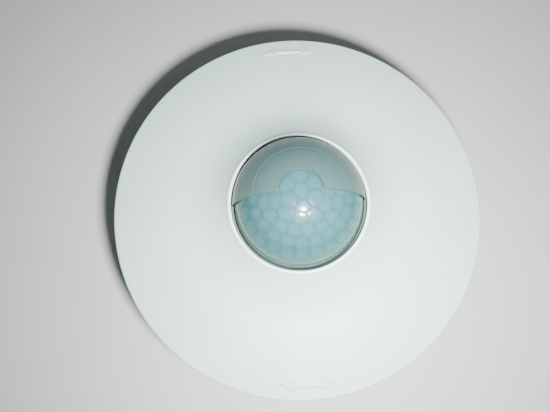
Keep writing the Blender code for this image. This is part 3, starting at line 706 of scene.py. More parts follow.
def setting_ticks():
    """Raised marks round the two trimmer windows, longer at the ends and in the middle of the range."""
    ticks = []
    for azimuth in (TIME_AZIMUTH, LUX_AZIMUTH):
        x, y = polar(SETTING_RADIUS, azimuth)
        for step in range(-5, 6):
            length = 1 if step in (-5, 0, 5) else 0.6
            turn = azimuth + 24 * step
            dx, dy = polar(TICK_RADIUS, turn)
            ticks.append(box("tick", (length, 0.3, 0.4), (x + dx, y + dy, HEAD_TOP), turn, 0.06))
    return ticks


def build_head():
    """The white housing with its windows, bayonet lugs and snap legs."""
    head = lathe("head_shell", HEAD, 144, 0.22)
    for azimuth in DIAGONALS:
        lug = sector("lug", HEAD_RADIUS - 0.8, HEAD_RADIUS + 1.7, 31.5, 32.6, azimuth, LUG_HALF_ANGLE)
        fuse(head, soften(lug, 0.14))
    for azimuth in HOOK_AZIMUTHS:
        leg = polar_box("leg", (1.2, 5, 12.2), 23.4, azimuth, 20, 0.14)
        fuse(head, fuse(leg, polar_box("hook", (1.5, 4.9, 1.55), 24.2, azimuth, 20.05, 0.2)))
    for azimuth in SCREW_WINDOWS:
        cut(head, window((12, 8.4), 32, azimuth, 29.3, HEAD_TOP))
    for x in (CLAW_SCREW_RADIUS, -CLAW_SCREW_RADIUS):
        hole = [(0, 35), (3.3, 35), (3.3, HEAD_TOP + 0.14), (3, HEAD_TOP - 0.16), (3, 29.3), (0, 29.3)]
        cut(head, lathe("hole", hole, 48, 0, (x, 0)))
    wide = POT_SIZE + 0.6
    for azimuth in (TIME_AZIMUTH, LUX_AZIMUTH, TEST_AZIMUTH):
        cut(head, window((wide, wide), SETTING_RADIUS, azimuth, 30.8, HEAD_TOP))
    cut(head, window((wide, SWITCH_LENGTH + 0.6), SETTING_RADIUS, SWITCH_AZIMUTH, 30.8, HEAD_TOP))
    for azimuth in RIGHT_ANGLES:
        cut(head, window((1.4, 4.6), CLIP_RADIUS, azimuth, 30.8, 33.6, 0.08))
    return joined("head_shell", head, *setting_ticks())


def build_bayonet_ring():
    ring = lathe("bayonet_hoop", [(RING_OUTER, RING_TOP), (RING_OUTER, RING_UNDER), (RING_INNER, RING_UNDER),
                                  (RING_INNER, RING_TOP)], 144, 0.2)
    for azimuth in DIAGONALS:
        lug = sector("lug", HEAD_RADIUS + 0.3, RING_INNER + 0.8, RING_UNDER + 0.03, 31.2, azimuth, 5)
        fuse(ring, soften(lug, 0.14))
    for azimuth in RIGHT_ANGLES:
        cut(ring, window((2.2, 6.6), POST_RADIUS, azimuth, RING_UNDER - 1, RING_TOP, 0.12))
    return ring


# Metal parts

def build_plate():
    plate = lathe("mounting_ring", [(38, 30), (38, CEILING), (26.6, CEILING), (26.6, 29.3), (25.1, 29.3),
                                    (25.1, 30)], 144, 0.12)
    for azimuth in SCREW_WINDOWS:
        cut(plate, sector("slot", 28.2, 31.8, 28, 31, azimuth, 9, 10))
    for side in (1, -1):
        cut(plate, cylinder("hole", 1.8, 28, 31, (side * CLAW_SCREW_RADIUS, 0)))
        for y in (-6.9, 6.9):
            fuse(plate, box("tab", (2.4, 1, 2.65), (side * 27.2, y, 28.13), 0, 0.15))
        pin_hole = cylinder("pin_hole", 0.7, -10, 10, steps=20)
        cut(plate, lie_down(pin_hole, (side * CLAW_RADIUS, 0, CLAW_PIVOT), 90))
    return plate


def build_claw(name, side):
    """A forked claw of sheet steel with a folded, toothed foot, two stiffening beads and its hinge pin."""
    middle = (CLAW_LOW + CLAW_HIGH) / 2
    claw = box(name, (1, CLAW_WIDTH, 20), (side * CLAW_RADIUS, 0, middle))
    fuse(claw, box("foot", (1.9, CLAW_WIDTH, 1), (side * 27.35, 0, CLAW_LOW + 0.5)))
    cut(claw, box("fork", (6, 4.6, 20), (side * CLAW_RADIUS, 0, CLAW_LOW + 9)))
    for y in (-5.1, -3.2, 3.2, 5.1):
        cut(claw, box("notch", (0.9, 0.9, 4), (side * 28.35, y, CLAW_LOW), 45))
    soften(claw, 0.12)
    beads = [box("bead", (0.7, 0.9, 11), (side * 27.15, y, 18.5), 0, 0.3, 3) for y in (-4.2, 4.2)]
    pin = cylinder("pin", 0.4, -7.3, 7.3, steps=24, edge=0.12)
    return joined(name, claw, *beads, lie_down(pin, (side * CLAW_RADIUS, 0, CLAW_PIVOT), 90))


def threaded(name, radius, low, high, pitch, depth, at):
    """A screw's threaded shank with a blunt tip."""
    heights = np.arange(low + 0.9, high + 1e-6, pitch / 8)
    angles = np.linspace(0, math.tau, 32, endpoint=False)
    turn = heights[:, None] / pitch - angles[None, :] / math.tau
    radii = radius - depth * np.abs(2 * (turn % 1) - 1)
    lead = smoothstep((heights - low - 0.9) / 0.8)[:, None]
    radii = (radius - depth) * (1 - lead) + radii * lead
    tip = radius - depth - 0.25
    radii = np.concatenate([np.zeros((1, 32)), np.full((1, 32), tip), radii, np.zeros((1, 32))])
    heights = np.concatenate([[low, low], heights, [heights[-1]]])
    return turned(name, radii, heights[:, None] + 0 * radii, angles, at, 50)


def build_claw_screw(name, side, slot_turn):
    at = (side * CLAW_SCREW_RADIUS, 0)
    head = lathe(name, [(0, 32.1), (2, 32.1), (2.5, 31.5), (2.5, 30.3), (0, 30.3)], 64, 0.15, at)
    cut(head, box("slot", (6, 0.7, 1.2), (*at, 32.2), slot_turn))
    return joined(name, head, threaded("shank", 1.4, 10, 30.5, 0.7, 0.26, at))


# Insert

def build_can():
    """The cup behind the ceiling, with a groove round its back and shallow ribs down its side."""
    can = lathe("insert_cup", [(0, 1.8), (23.2, 1.8), (24.4, 3), (24.4, CEILING), (CAN_RADIUS, CEILING),
                               (CAN_RADIUS, 1), (25, 0), (20.2, 0), (20, 0.35), (19.2, 0.35), (19, 0),
                               (0, 0)], 144, 0.16)
    cut(can, box("window", (23, 11, 6), (0, TERMINAL_Y, 1)))
    for azimuth in HOOK_AZIMUTHS:
        cut(can, polar_box("window", (4, 6, 2.8), 25.5, azimuth, 19.4))
    for x, y in ((-12, 8), (12, 8)):
        cut(can, lathe("mark", [(2.4, 0.3), (2.4, -1), (1.8, -1), (1.8, 0.3)], 40, 0, (x, y)))
    extras = [cylinder("boss", 2.2, 1.2, 15.7, at, 32, 0.2) for at in BOSSES]
    for step in range(36):
        azimuth = 5 + 10 * step
        near = [abs((azimuth - other + 180) % 360 - 180) for other in (*HOOK_AZIMUTHS, 0, 180)]
        if min(near) > 11:
            extras.append(polar_box("rib", (0.5, 0.7, 23), 25.95, azimuth, 3, 0.12))
    return joined("insert_cup", can, *extras)


def build_terminals():
    """The connection block: funnel-shaped wire entries, screw wells and low walls between the poles."""
    height = TERMINAL_HIGH - TERMINAL_LOW
    block = box("terminal_body", (22.4, 10.4, height), (0, TERMINAL_Y, TERMINAL_LOW + height / 2))
    for x in TERMINAL_XS:
        entry = TERMINAL_Y - 2.4
        cut(block, lathe("entry", [(0, 9), (1.5, 9), (1.5, 1.8), (2.1, 0.4), (2.1, -1), (0, -1)], 32, 0,
                         (x, entry)))
        cut(block, cylinder("well", 2.1, -1, 7, (x, TERMINAL_Y + 2.3), 40))
    soften(block, 0.12)
    walls = [box("wall", (0.7, 10, 0.7), (x, TERMINAL_Y, TERMINAL_LOW + 0.05), 0, 0.12) for x in (-5, 0, 5)]
    sides = [box("latch", (3, 10.3, 1.2), (x, TERMINAL_Y, 13), 0, 0.2) for x in (-6, 6)]
    return joined("terminal_body", block, *walls, *sides)


def build_terminal_screw(number):
    x, y = TERMINAL_XS[number], TERMINAL_Y + 2.3
    screw = lathe("screw", [(0, 6.7), (1.8, 6.7), (1.8, 4.6), (1.5, 4.2), (0, 4.2)], 48, 0.12, (x, y))
    cut(screw, box("slot", (5, 0.6, 1.2), (x, y, 4.3), 25 + 37 * number))
    cut(screw, box("cross", (2, 0.5, 1), (x, y, 4.3), 115 + 37 * number))
    return screw


# Boards and parts on them

def build_sensor_board():
    board = lathe("sensor_pcb", [(0, 31.5), (31.2, 31.5), (31.2, 30.3), (0, 30.3)], 144, 0.05)
    for azimuth in HOOK_AZIMUTHS:
        cut(board, polar_box("notch", (2, 5.8, 4), 23.4, azimuth, 29.3))
    for azimuth in SCREW_WINDOWS:
        cut(board, polar_box("notch", (10, 9, 4), 31, azimuth, 29.3))
    for azimuth in (0, 180):
        cut(board, polar_box("notch", (7, 6.2, 4), CLAW_SCREW_RADIUS + 0.4, azimuth, 29.3))
    chips = []
    for x, y, length, width, turn in ((-8, 2, 8.6, 3.9, 0), (-3, -9, 5, 4.4, 90), (-14, -6, 2.9, 1.5, 0),
                                      (-14, 5.5, 2.9, 1.5, 90), (3.5, -2, 3.2, 1.6, 0), (3.5, 1, 3.2, 1.6, 0),
                                      (10, -12, 2, 1.25, 30), (12, -9, 2, 1.25, 30),
                                      (-19, 1, 2, 1.25, 90), (-17, 1, 2, 1.25, 90)):
        chips.append(box("chip", (length, width, 1), (x, y, 29.85), turn, 0.12))
    return joined("sensor_pcb", board, *chips)


def build_power_board():
    """The mains board, with the soldered joints of its parts underneath."""
    board = lathe("power_pcb", [(0, 17.6), (22.3, 17.6), (22.3, 16), (0, 16)], 120, 0.06)
    joints = []
    spots = [(-11, 9), (-11, 15), (11.5, 9), (11.5, 15), (0, 15.5), (-15.5, 0.6), (-15.5, -2.4),
             (-6.5, 0.6), (-6.5, -2.4), (6.2, -2.6), (11, -2.6), (18.6, 4), (18.6, 1.4), (18.6, -1.4),
             (18.6, -4)]
    for x, y in spots:
        joints.append(lathe("joint", [(0, 15.74), (0.25, 15.76), (0.5, 15.86), (0.8, 16.1), (0, 16.1)], 20, 0,
                            (x, y)))
    return joined("power_pcb", board, *joints)


def build_relay():
    base = BOARD_TOP
    body = box("relay_case", (26.8, 12.2, 9.6), (0, 12, base + 5.8))
    cut(body, box("panel", (22, 8, 1), (0, 12, base + 10.85)))
    soften(body, 0.35, 3)
    foot = box("foot", (27, 12.4, 1.2), (0, 12, base + 0.6), 0, 0.15)
    vent = cylinder("vent", 0.7, base + 10.2, base + 10.55, (-9.5, 14.5), 24, 0.08)
    return joined("relay_case", body, foot, vent)


def build_transformer():
    """A ferrite core round a taped coil on a bobbin."""
    x, y = -11, -3
    core = [box("core", (13, 5.4, 1.9), (x, y, BOARD_TOP + z), 0, 0.12) for z in (0.95, 6.85)]
    core += [box("leg", (1.9, 5.4, 7.8), (x + dx, y, BOARD_TOP + 3.9), 0, 0.12) for dx in (-5.55, 5.55)]
    coil = box("coil", (8.4, 11, 4.9), (x, y, BOARD_TOP + 3.9), 0, 1.1, 4)
    cheeks = [box("cheek", (8.8, 0.6, 6), (x, y + dy, BOARD_TOP + 3.9), 0, 0.15) for dy in (-5.5, 5.5)]
    return joined("coil_and_core", coil, *core, *cheeks)


def build_film_capacitor():
    body = box("film_capacitor", (13, 5.4, 9.6), (-7.4, -14.6, BOARD_TOP + 4.8), -14, 0.7, 4)
    seam = box("seam", (12.2, 4.6, 0.5), (-7.4, -14.6, BOARD_TOP + 0.15), -14, 0.1)
    return joined("film_capacitor", body, seam)


def build_fuse():
    body = box("fuse_cap", (8.4, 4.2, 6.4), (7, -17, BOARD_TOP + 4.4), 14, 0.9, 4)
    foot = box("foot", (8, 3.8, 1.6), (7, -17, BOARD_TOP + 0.8), 14, 0.15)
    return joined("fuse_cap", body, foot)


def build_header():
    """The socket strip that joins the two boards."""
    low, high = BOARD_TOP, 30
    body = box("socket_strip", (5, 10.4, high - low), (18.6, 0, (low + high) / 2))
    for y in (-3.81, -1.27, 1.27, 3.81):
        for x in (17.33, 19.87):
            cut(body, box("pocket", (0.9, 0.9, 6), (x, y, high)))
    for y in (-2.54, 0, 2.54):
        for x in (16.1, 21.1):
            cut(body, box("groove", (0.5, 0.3, 20), (x, y, high - 6)))
    return soften(body, 0.10, 1)


def build_main_capacitor():
    base = BOARD_TOP
    section = [(0, base + 11), (3.9, base + 11), (4.2, base + 11.2), (4.75, base + 11), (5, base + 10.5),
               (5, base + 1.9), (4.75, base + 1.5), (5, base + 1.1), (4.95, base + 0.2), (4.5, base),
               (0, base)]
    can = lathe("capacitor_can", section, 80, 0.12, (8.6, -2.6))
    for turn in (0, 90):
        cut(can, box("score", (5.2, 0.28, 0.5), (8.6, -2.6, base + 11.1), turn + 20))
    return paint(can, lambda x, y, z: (z > base + 10.85) & (np.hypot(x - 8.6, y + 2.6) < 4.1))


def build_varistor():
    side = [(3.2, 1.75), (3.9, 1.45), (4.3, 0.8)]
    face = [(0, 1.8), *side, (4.4, 0), *[(r, -z) for r, z in reversed(side)], (0, -1.8)]
    return lie_down(lathe("varistor_disc", face, 72, 0.3), (14.2, -11.6, BOARD_TOP + 4.5), -40)


# Sensors under the dome

def sensor_frame(azimuth):
    """Where a heat sensor's base sits on its slanting face, looking outward and up."""
    half = math.cos(math.radians(45)) / 2
    radius = (14.6 + 5.2) * half
    run = (14.6 - 5.2) * 2 * half
    lean = math.atan2(38 - 33.2, run)
    place = Matrix.Translation(Vector((*polar(radius, azimuth), 35.6)) * MM)
    turn = Matrix.Rotation(math.radians(azimuth), 4, "Z") @ Matrix.Rotation(lean, 4, "Y")
    return place @ turn @ Matrix.Translation((0, 0, 0.3 * MM))


def build_carrier():
    carrier = lathe("sensor_pyramid", CARRIER, 4, 0)
    for azimuth in DIAGONALS:
        seat = lathe("seat", [(0, 1), (4.7, 1), (4.7, -0.7), (0, -0.7)], 64, 0)
        cut(carrier, moved(seat, sensor_frame(azimuth)))
    cut(carrier, box("seat", (3.3, 3.3, 0.6), (0, 0, 38.05)))
    return soften(carrier, 0.22, 3)


def build_heat_sensor(number):
    """A pyroelectric detector: a drawn metal can on a flange, with a dark filter let into its top."""
    section = [(0, 4.2), (3.7, 4.2), (4.1, 3.8), (4.1, 0.8), (4.5, 0.8), (4.5, 0), (0, 0)]
    sensor = lathe("heat_sensor", section, 80, 0.14)
    cut(sensor, box("window", (4, 3.2, 1), (0, 0, 4.35)))
    paint(sensor, lambda x, y, z: (np.abs(x) < 2.05) & (np.abs(y) < 1.65) & (z > 3.7) & (z < 4))
    return moved(sensor, sensor_frame(DIAGONALS[number]))


def build_light_sensor():
    body = box("light_cell", (3, 3, 0.9), (0, 0, 38.75), 0, 0.15)
    lens = lathe("lens", [(0, 39.6)] + arc(0, 38.6, 1, 75, 0, 6) + [(0, 38.6)], 40, 0)
    return paint(joined("light_cell", body, lens), lambda x, y, z: (z > 39.25) | (np.hypot(x, y) < 1.05))


def build_lamp():
    at = polar(13.2, TIME_AZIMUTH)
    section = [(0, 34.6)] + arc(0, 33.1, 1.5, 80, 0, 9) + [(1.5, 32.3), (1.8, 32.3), (1.8, 31.8), (0, 31.8)]
    return lathe("lamp_bead", section, 48, 0.04, at)


# Settings

def build_pot(name, azimuth):
    body = polar_box(name, (POT_SIZE, POT_SIZE, 2.1), SETTING_RADIUS, azimuth, SETTING_BASE)
    cut(body, cylinder("pocket", 2.6, SETTING_TOP - 1.2, SETTING_TOP + 1, polar(SETTING_RADIUS, azimuth), 64))
    for a, b in SQUARE:
        at = offset(SETTING_RADIUS, azimuth, 2.75 * a, 2.75 * b)
        cut(body, cylinder("dimple", 0.35, SETTING_TOP - 0.25, SETTING_TOP + 1, at, 20))
    return soften(body, 0.12)


def build_knob(name, azimuth):
    """The slotted rotor of a trimmer, with a pointer notch and a finely fluted edge."""
    x, y = polar(SETTING_RADIUS, azimuth)
    low, high = 33, 34.4
    knob = lathe(name, [(0, high), (2, high), (2.3, high - 0.3), (2.3, low), (0, low)], 144, 0.08, (x, y),
                 flutes=(24, 0.14, 2.25, low, high - 0.25))
    cut(knob, box("slot", (4, 0.7, 1.2), (x, y, high), azimuth))
    cut(knob, polar_box("notch", (0.8, 1.8, 1.2), SETTING_RADIUS + 1.1, azimuth, high - 0.6))
    return knob


def build_switch_block():
    size = (POT_SIZE, SWITCH_LENGTH, 2.1)
    body = polar_box("switch_body", size, SETTING_RADIUS, SWITCH_AZIMUTH, SETTING_BASE)
    for step in (-1, 0, 1):
        at = offset(SETTING_RADIUS, SWITCH_AZIMUTH, 0, step * SWITCH_PITCH)
        cut(body, box("slot", (4, 1.6, 2.3), (*at, SETTING_TOP - 0.15), SWITCH_AZIMUTH))
    return soften(body, 0.10)


def build_slider(number):
    def at(along):
        return offset(SETTING_RADIUS - 1, SWITCH_AZIMUTH, along, (number - 1) * SWITCH_PITCH)

    slider = box("slider", (1.4, 1, 1.5), (*at(0), SETTING_TOP - 0.25), SWITCH_AZIMUTH)
    for step in (-1, 0, 1):
        cut(slider, box("grip", (0.14, 1.4, 0.3), (*at(0.4 * step), SETTING_TOP + 0.5), SWITCH_AZIMUTH))
    return soften(slider, 0.06)


def build_test_switch():
    body = polar_box("test_body", (6, 6, 2.1), SETTING_RADIUS, TEST_AZIMUTH, SETTING_BASE)
    at = polar(SETTING_RADIUS, TEST_AZIMUTH)
    cut(body, cylinder("well", 2.05, SETTING_BASE + 0.4, SETTING_TOP + 1, at, 56))
    return soften(body, 0.14)


def build_test_button():
    at = polar(SETTING_RADIUS, TEST_AZIMUTH)
    top = 34.6
    section = [(0, top - 0.22), (0.7, top - 0.18), (1.2, top - 0.04), (1.45, top), (1.75, top - 0.2),
               (1.75, 33), (0, 33)]
    return lathe("button_cap", section, 64, 0.08, at)


# Materials

class Look:
    """A material's node tree, with short ways to add the textures the finishes share."""

    def __init__(self, name, roughness=0.5, **values):
        self.material = bpy.data.materials.new(name)
        self.material.use_nodes = True
        self.tree = self.material.node_tree
        self.shader = self.tree.nodes["Principled BSDF"]
        self.place = self.node("ShaderNodeTexCoord").outputs["Object"]
        self.shader.inputs["Roughness"].default_value = roughness
        for socket, value in values.items():
            self.shader.inputs[socket.replace("_", " ")].default_value = value

    def node(self, kind, **settings):
        made = self.tree.nodes.new(kind)
        for key, value in settings.items():
            setattr(made, key, value)
        return made

    def join(self, source, socket):
        self.tree.links.new(source, socket)

    def stretched(self, scale, turn=(0, 0, 0)):
        mapping = self.node("ShaderNodeMapping")
        mapping.inputs["Scale"].default_value = scale
        mapping.inputs["Rotation"].default_value = turn
        self.join(self.place, mapping.inputs["Vector"])
        return mapping.outputs["Vector"]

    def noise(self, per_metre, detail=3, roughness=0.6, place=None):
        texture = self.node("ShaderNodeTexNoise")
        texture.inputs["Scale"].default_value = per_metre
        texture.inputs["Detail"].default_value = detail
        texture.inputs["Roughness"].default_value = roughness
        self.join(place or self.place, texture.inputs["Vector"])
        return texture.outputs["Fac"]

    def voronoi(self, per_metre, place=None, output="Distance"):
        texture = self.node("ShaderNodeTexVoronoi")
        texture.inputs["Scale"].default_value = per_metre
        self.join(place or self.place, texture.inputs["Vector"])
        return texture.outputs[output]

    def spread(self, value, low, high, to_low=0, to_high=1, smooth=False):
        """Maps a value from one range to another."""
        node = self.node("ShaderNodeMapRange")
        if smooth:
            node.interpolation_type = "SMOOTHSTEP"
        for socket, number in zip(("From Min", "From Max", "To Min", "To Max"), (low, high, to_low, to_high)):
            node.inputs[socket].default_value = number
        self.join(value, node.inputs["Value"])
        return node.outputs["Result"]

    def math(self, operation, a, b):
        node = self.node("ShaderNodeMath", operation=operation)
        for socket, value in zip(node.inputs, (a, b)):
            if isinstance(value, (int, float)):
                socket.default_value = value
            else:
                self.join(value, socket)
        return node.outputs["Value"]

    def times(self, a, b):
        return self.math("MULTIPLY", a, b)

    def blend(self, share, first, second):
        node = self.node("ShaderNodeMix", data_type="RGBA")
        for number, value in ((0, share), (6, first), (7, second)):
            socket = node.inputs[number]
            if isinstance(value, (int, float)):
                socket.default_value = value
            elif isinstance(value, tuple):
                socket.default_value = (*value, 1)
            else:
                self.join(value, socket)
        return node.outputs[2]

    def mix(self, value, low, high, first, second):
        """Goes from first to second as the value goes from low to high."""
        return self.blend(self.spread(value, low, high), first, second)

    def axes(self):
        """The object's own x, y and z in metres."""
        split = self.node("ShaderNodeSeparateXYZ")
        self.join(self.place, split.inputs["Vector"])
        return split.outputs

    def off_axis(self):
        """Distance from the object's own z axis in metres."""
        x, y, _ = self.axes()
        squares = self.math("ADD", self.times(x, x), self.times(y, y))
        return self.math("SQRT", squares, 0)

    def marks(self):
        """What paint() left on the points."""
        return self.node("ShaderNodeAttribute", attribute_name="marked").outputs["Fac"]

    def colour(self, source):
        self.join(source, self.shader.inputs["Base Color"])

    def vary_roughness(self, source, low, high):
        self.join(self.spread(source, 0.3, 0.7, low, high), self.shader.inputs["Roughness"])

    def bump(self, height, depth_mm, strength=1):
        node = self.node("ShaderNodeBump")
        node.inputs["Strength"].default_value = strength
        node.inputs["Distance"].default_value = depth_mm * MM
        self.join(height, node.inputs["Height"])
        earlier = self.shader.inputs["Normal"].links
        if earlier:
            self.join(earlier[0].from_socket, node.inputs["Normal"])
        self.join(node.outputs["Normal"], self.shader.inputs["Normal"])

    def finished(self, gloss, *bumps):
        """The material, with roughness varied by (source, low, high) and bumps of (height, depth in mm)."""
        self.vary_roughness(*gloss)
        for bump in bumps:
            self.bump(*bump)
        return self.material


def shaded(colour, factor):
    return tuple(min(1, channel * factor) for channel in colour)


def grained(look, tone, colour, low, high, grain, grain_depth):
    """Adds a few dust specks to the tone, uneven gloss and spark-eroded grain."""
    dust = look.spread(look.noise(900, 2), 0.72, 0.80, 0, 0.10)
    look.colour(look.blend(dust, tone, shaded(colour, 0.55)))
    return look.finished((look.noise(260), low, high), (look.noise(grain, 2, 0.55), grain_depth))


def moulded_plastic(name, colour, roughness, grain=2600, grain_depth=0.006, mottle=0.05, **values):
    """Injection-moulded plastic with faint flow mottling."""
    look = Look(name, roughness, **values)
    tone = look.mix(look.noise(38, 4, 0.55), 0.35, 0.65, shaded(colour, 1 - mottle),
                    shaded(colour, 1 + mottle * 0.4))
    return grained(look, tone, colour, roughness - 0.05, roughness + 0.07, grain, grain_depth)


def lens_plastic():
    """Milky polyethylene with its lens cells. Painted light makes it paler towards the top, at the foot and
    in the middle of each cell; painted shade makes it darker along the grooves and where cells meet.
    """
    look = Look("lens_milk", 0.34, Subsurface_Weight=0.55, Subsurface_Scale=0.0016, Coat_Weight=0.28,
                Coat_Roughness=0.09, IOR=1.5, Specular_IOR_Level=0.16, Subsurface_Radius=(0.6, 1, 1))
    split = look.node("ShaderNodeSeparateColor")
    look.join(look.node("ShaderNodeVertexColor", layer_name="cells").outputs["Color"], split.inputs["Color"])
    line, middle, junction = split.outputs
    height = look.axes()[2]
    # Painted light: the dome grows paler towards its top, as if lit from inside.
    tone = look.blend(look.spread(height, 0.0435, 0.0575, smooth=True), LENS_BASE, LENS_TOP_PAINTED_LIGHT)
    # Painted light on the foot of the dome, which keeps its flank from looking dark.
    tone = look.blend(look.spread(height, 0.0462, 0.0412, smooth=True), tone, LENS_FOOT_PAINTED_LIGHT)
    # Painted light in the middle of each cell; painted shade along the grooves and where cells meet.
    marks = ((middle, 0.24, LENS_CELL_PAINTED_LIGHT), (line, 0.19, LENS_GROOVE_PAINTED_SHADE), (junction, 0.26, LENS_GROOVE_PAINTED_SHADE))
    for source, share, colour in marks:
        tone = look.blend(look.spread(source, 0, 1, 0, share), tone, colour)
    look.colour(look.blend(look.spread(look.noise(210, 4), 0.35, 0.65, 0, 0.16), tone, LENS_BASE))
    return look.finished((look.noise(800), 0.24, 0.36), (look.noise(1100, 2), 0.030))


def mask_plastic():
    """The smooth smoky half shell: slightly cloudy, paler low down than near the top, with painted shade
    along its straight edges and round its opening.
    """
    look = Look("mask_milk", 0.36, Subsurface_Weight=0.3, Subsurface_Scale=0.0012, IOR=1.5,
                Specular_IOR_Level=0.3, Subsurface_Radius=(0.7, 1, 1))
    _, y, height = look.axes()
    tone = look.blend(look.spread(height, 0.0500, 0.0560, smooth=True), MASK_BAND, MASK_PANEL)
    cloud = look.spread(look.noise(160, 4), 0.35, 0.65, 0, 0.25)
    tone = look.blend(cloud, tone, shaded(MASK_BAND, 0.9))
    rim = MASK_OUTER * math.sin(math.radians(MASK_OPENING)) * MM
    # Painted shade along the straight edges and round the opening, where the shell steps down onto the dome.
    edge = look.math("MAXIMUM", look.spread(y, 0.00034, 0.00014),
                     look.spread(look.off_axis(), rim + 0.00036, rim + 0.00016))
    above = look.math("GREATER_THAN", height, (MASK_RING_TOP + 0.3) * MM)
    line = look.times(look.times(edge, above), 0.6)
    look.colour(look.blend(line, tone, shaded(MASK_BAND, 0.45)))
    return look.finished((look.noise(420), 0.30, 0.42), (look.noise(1700, 2), 0.008))


def marked(look):
    """Share of a piece's own marked points, sharpened."""
    return look.spread(look.marks(), 0.45, 0.55)


def foam():
    """Closed-cell foam: a dark sponge with pores of different sizes."""
    look = Look("cell_foam", 0.9, Sheen_Weight=0.25, Sheen_Roughness=0.5)
    pores = look.voronoi(2600)
    coarse = look.noise(700, 4, 0.65)
    tone = look.mix(pores, 0.1, 0.5, (0.020, 0.021, 0.022), (0.075, 0.077, 0.080))
    look.colour(look.blend(look.spread(coarse, 0.35, 0.7, 0, 0.5), tone, (0.045, 0.046, 0.049)))
    return look.finished((coarse, 0.82, 0.97), (pores, 0.10), (coarse, 0.06))


def zinc_steel():
    """Zinc-plated sheet: spangle in patches, rolling lines and a faint yellow passivation."""
    look = Look("zinc_plated", 0.34, Metallic=1)
    spangle = look.voronoi(420, output="Color")
    grey = look.node("ShaderNodeRGBToBW")
    look.join(spangle, grey.inputs["Color"])
    patch = grey.outputs["Val"]
    stain = look.noise(70, 4)
    tone = look.mix(patch, 0.1, 0.9, (0.46, 0.47, 0.48), (0.62, 0.63, 0.63))
    look.colour(look.blend(look.spread(stain, 0.45, 0.75, 0, 0.45), tone, (0.50, 0.47, 0.38)))
    rolling = look.noise(900, 3, 0.6, look.stretched((1, 0.05, 0.4)))
    gloss = look.math("ADD", look.times(patch, 0.4), look.times(rolling, 0.6))
    return look.finished((gloss, 0.26, 0.46), (rolling, 0.006), (look.noise(320, 3, 0.5), 0.012))


def turned_metal(name, colour, dark, roughness):
    """Plated screws: fine turning marks, a tarnish that gathers unevenly and a few scratches."""
    look = Look(name, roughness, Metallic=1)
    tarnish = look.noise(340, 4)
    scratch = look.spread(look.noise(1500, 2, 0.5, look.stretched((1, 0.06, 1), (0, 0, 0.6))), 0.66, 0.72)
    tone = look.mix(tarnish, 0.38, 0.68, colour, dark)
    look.colour(look.blend(look.times(scratch, 0.35), tone, shaded(colour, 1.25)))
    return look.finished((tarnish, roughness - 0.08, roughness + 0.16),
                         (look.noise(2600, 2, 0.5, look.stretched((0.2, 0.2, 1))), 0.005))


def circuit_board(name, parts_below, edge_radius, bottom):
    """Solder mask over copper tracks, tinned pads, and bare glass fibre at the edge. What stands below the
    board has a colour of its own."""
    look = Look(name, 0.36, Coat_Weight=0.25, Coat_Roughness=0.18)
    area = look.voronoi(150, place=look.stretched((1, 1, 0)), output="Color")
    choose = look.node("ShaderNodeSeparateColor")
    look.join(area, choose.inputs["Color"])
    along_x = look.math("GREATER_THAN", choose.outputs["Red"], 0.5)
    waves = []
    for turn in (0, math.pi / 2):
        wave = look.node("ShaderNodeTexWave", wave_type="BANDS", bands_direction="X")
        wave.inputs["Scale"].default_value = 210
        wave.inputs["Distortion"].default_value = 0
        look.join(look.stretched((1, 1, 1), (0, 0, turn)), wave.inputs["Vector"])
        waves.append(wave.outputs["Fac"])
    bands = look.math("ADD", look.times(along_x, waves[0]),
                      look.times(look.math("SUBTRACT", 1, along_x), waves[1]))
    track = look.spread(bands, 0.52, 0.60)
    mask = look.blend(track, (0.008, 0.075, 0.030), (0.018, 0.145, 0.055))
    cloud = look.noise(160)
    mask = look.blend(look.spread(cloud, 0.3, 0.7, 0, 0.35), mask, (0.006, 0.060, 0.024))
    pads = look.spread(look.voronoi(330, place=look.stretched((1, 1, 0))), 0.17, 0.15)
    faced = look.blend(pads, mask, (0.55, 0.55, 0.52))
    edge = look.spread(look.off_axis(), edge_radius - 0.00008, edge_radius - 0.00004)
    strands = look.noise(2400, 2, 0.6, look.stretched((1, 1, 6)))
    fibre = look.mix(strands, 0.35, 0.65, (0.30, 0.28, 0.13), (0.44, 0.42, 0.22))
    sided = look.blend(edge, faced, fibre)
    below = look.spread(look.axes()[2], bottom - 0.00001, bottom - 0.00004)
    look.colour(look.blend(below, sided, parts_below))
    look.join(look.times(pads, 0.8), look.shader.inputs["Metallic"])
    return look.finished((cloud, 0.28, 0.46), (track, 0.03, 0.6), (pads, 0.05, 0.6))


def sensor_can():
    """Drawn nickel-plated can with turning marks; its window is a dark interference filter."""
    look = Look("drawn_nickel", 0.26)
    window = marked(look)
    stain = look.noise(420, 4)
    metal = look.mix(stain, 0.35, 0.7, (0.60, 0.59, 0.55), (0.44, 0.43, 0.40))
    glass = look.mix(look.noise(260, 2, 0.5), 0.3, 0.7, (0.020, 0.018, 0.030), (0.050, 0.030, 0.060))
    look.colour(look.blend(window, metal, glass))
    look.join(look.spread(window, 0, 1, 1, 0.1), look.shader.inputs["Metallic"])
    return look.finished((stain, 0.18, 0.36),
                         (look.noise(1800, 2, 0.5, look.stretched((0.3, 0.3, 1))), 0.006))


def light_cell():
    """Black package with a small clear lens, which shows the die as a bluish shade."""
    look = Look("cell_package", 0.34, Coat_Weight=0.4, Coat_Roughness=0.08)
    grain = look.noise(1400)
    body = look.mix(grain, 0.35, 0.65, (0.012, 0.012, 0.013), (0.024, 0.024, 0.026))
    lens = look.mix(look.noise(500, 2, 0.5), 0.3, 0.7, (0.06, 0.09, 0.14), (0.10, 0.14, 0.19))
    look.colour(look.blend(marked(look), body, lens))
    return look.finished((grain, 0.22, 0.42), (grain, 0.01))


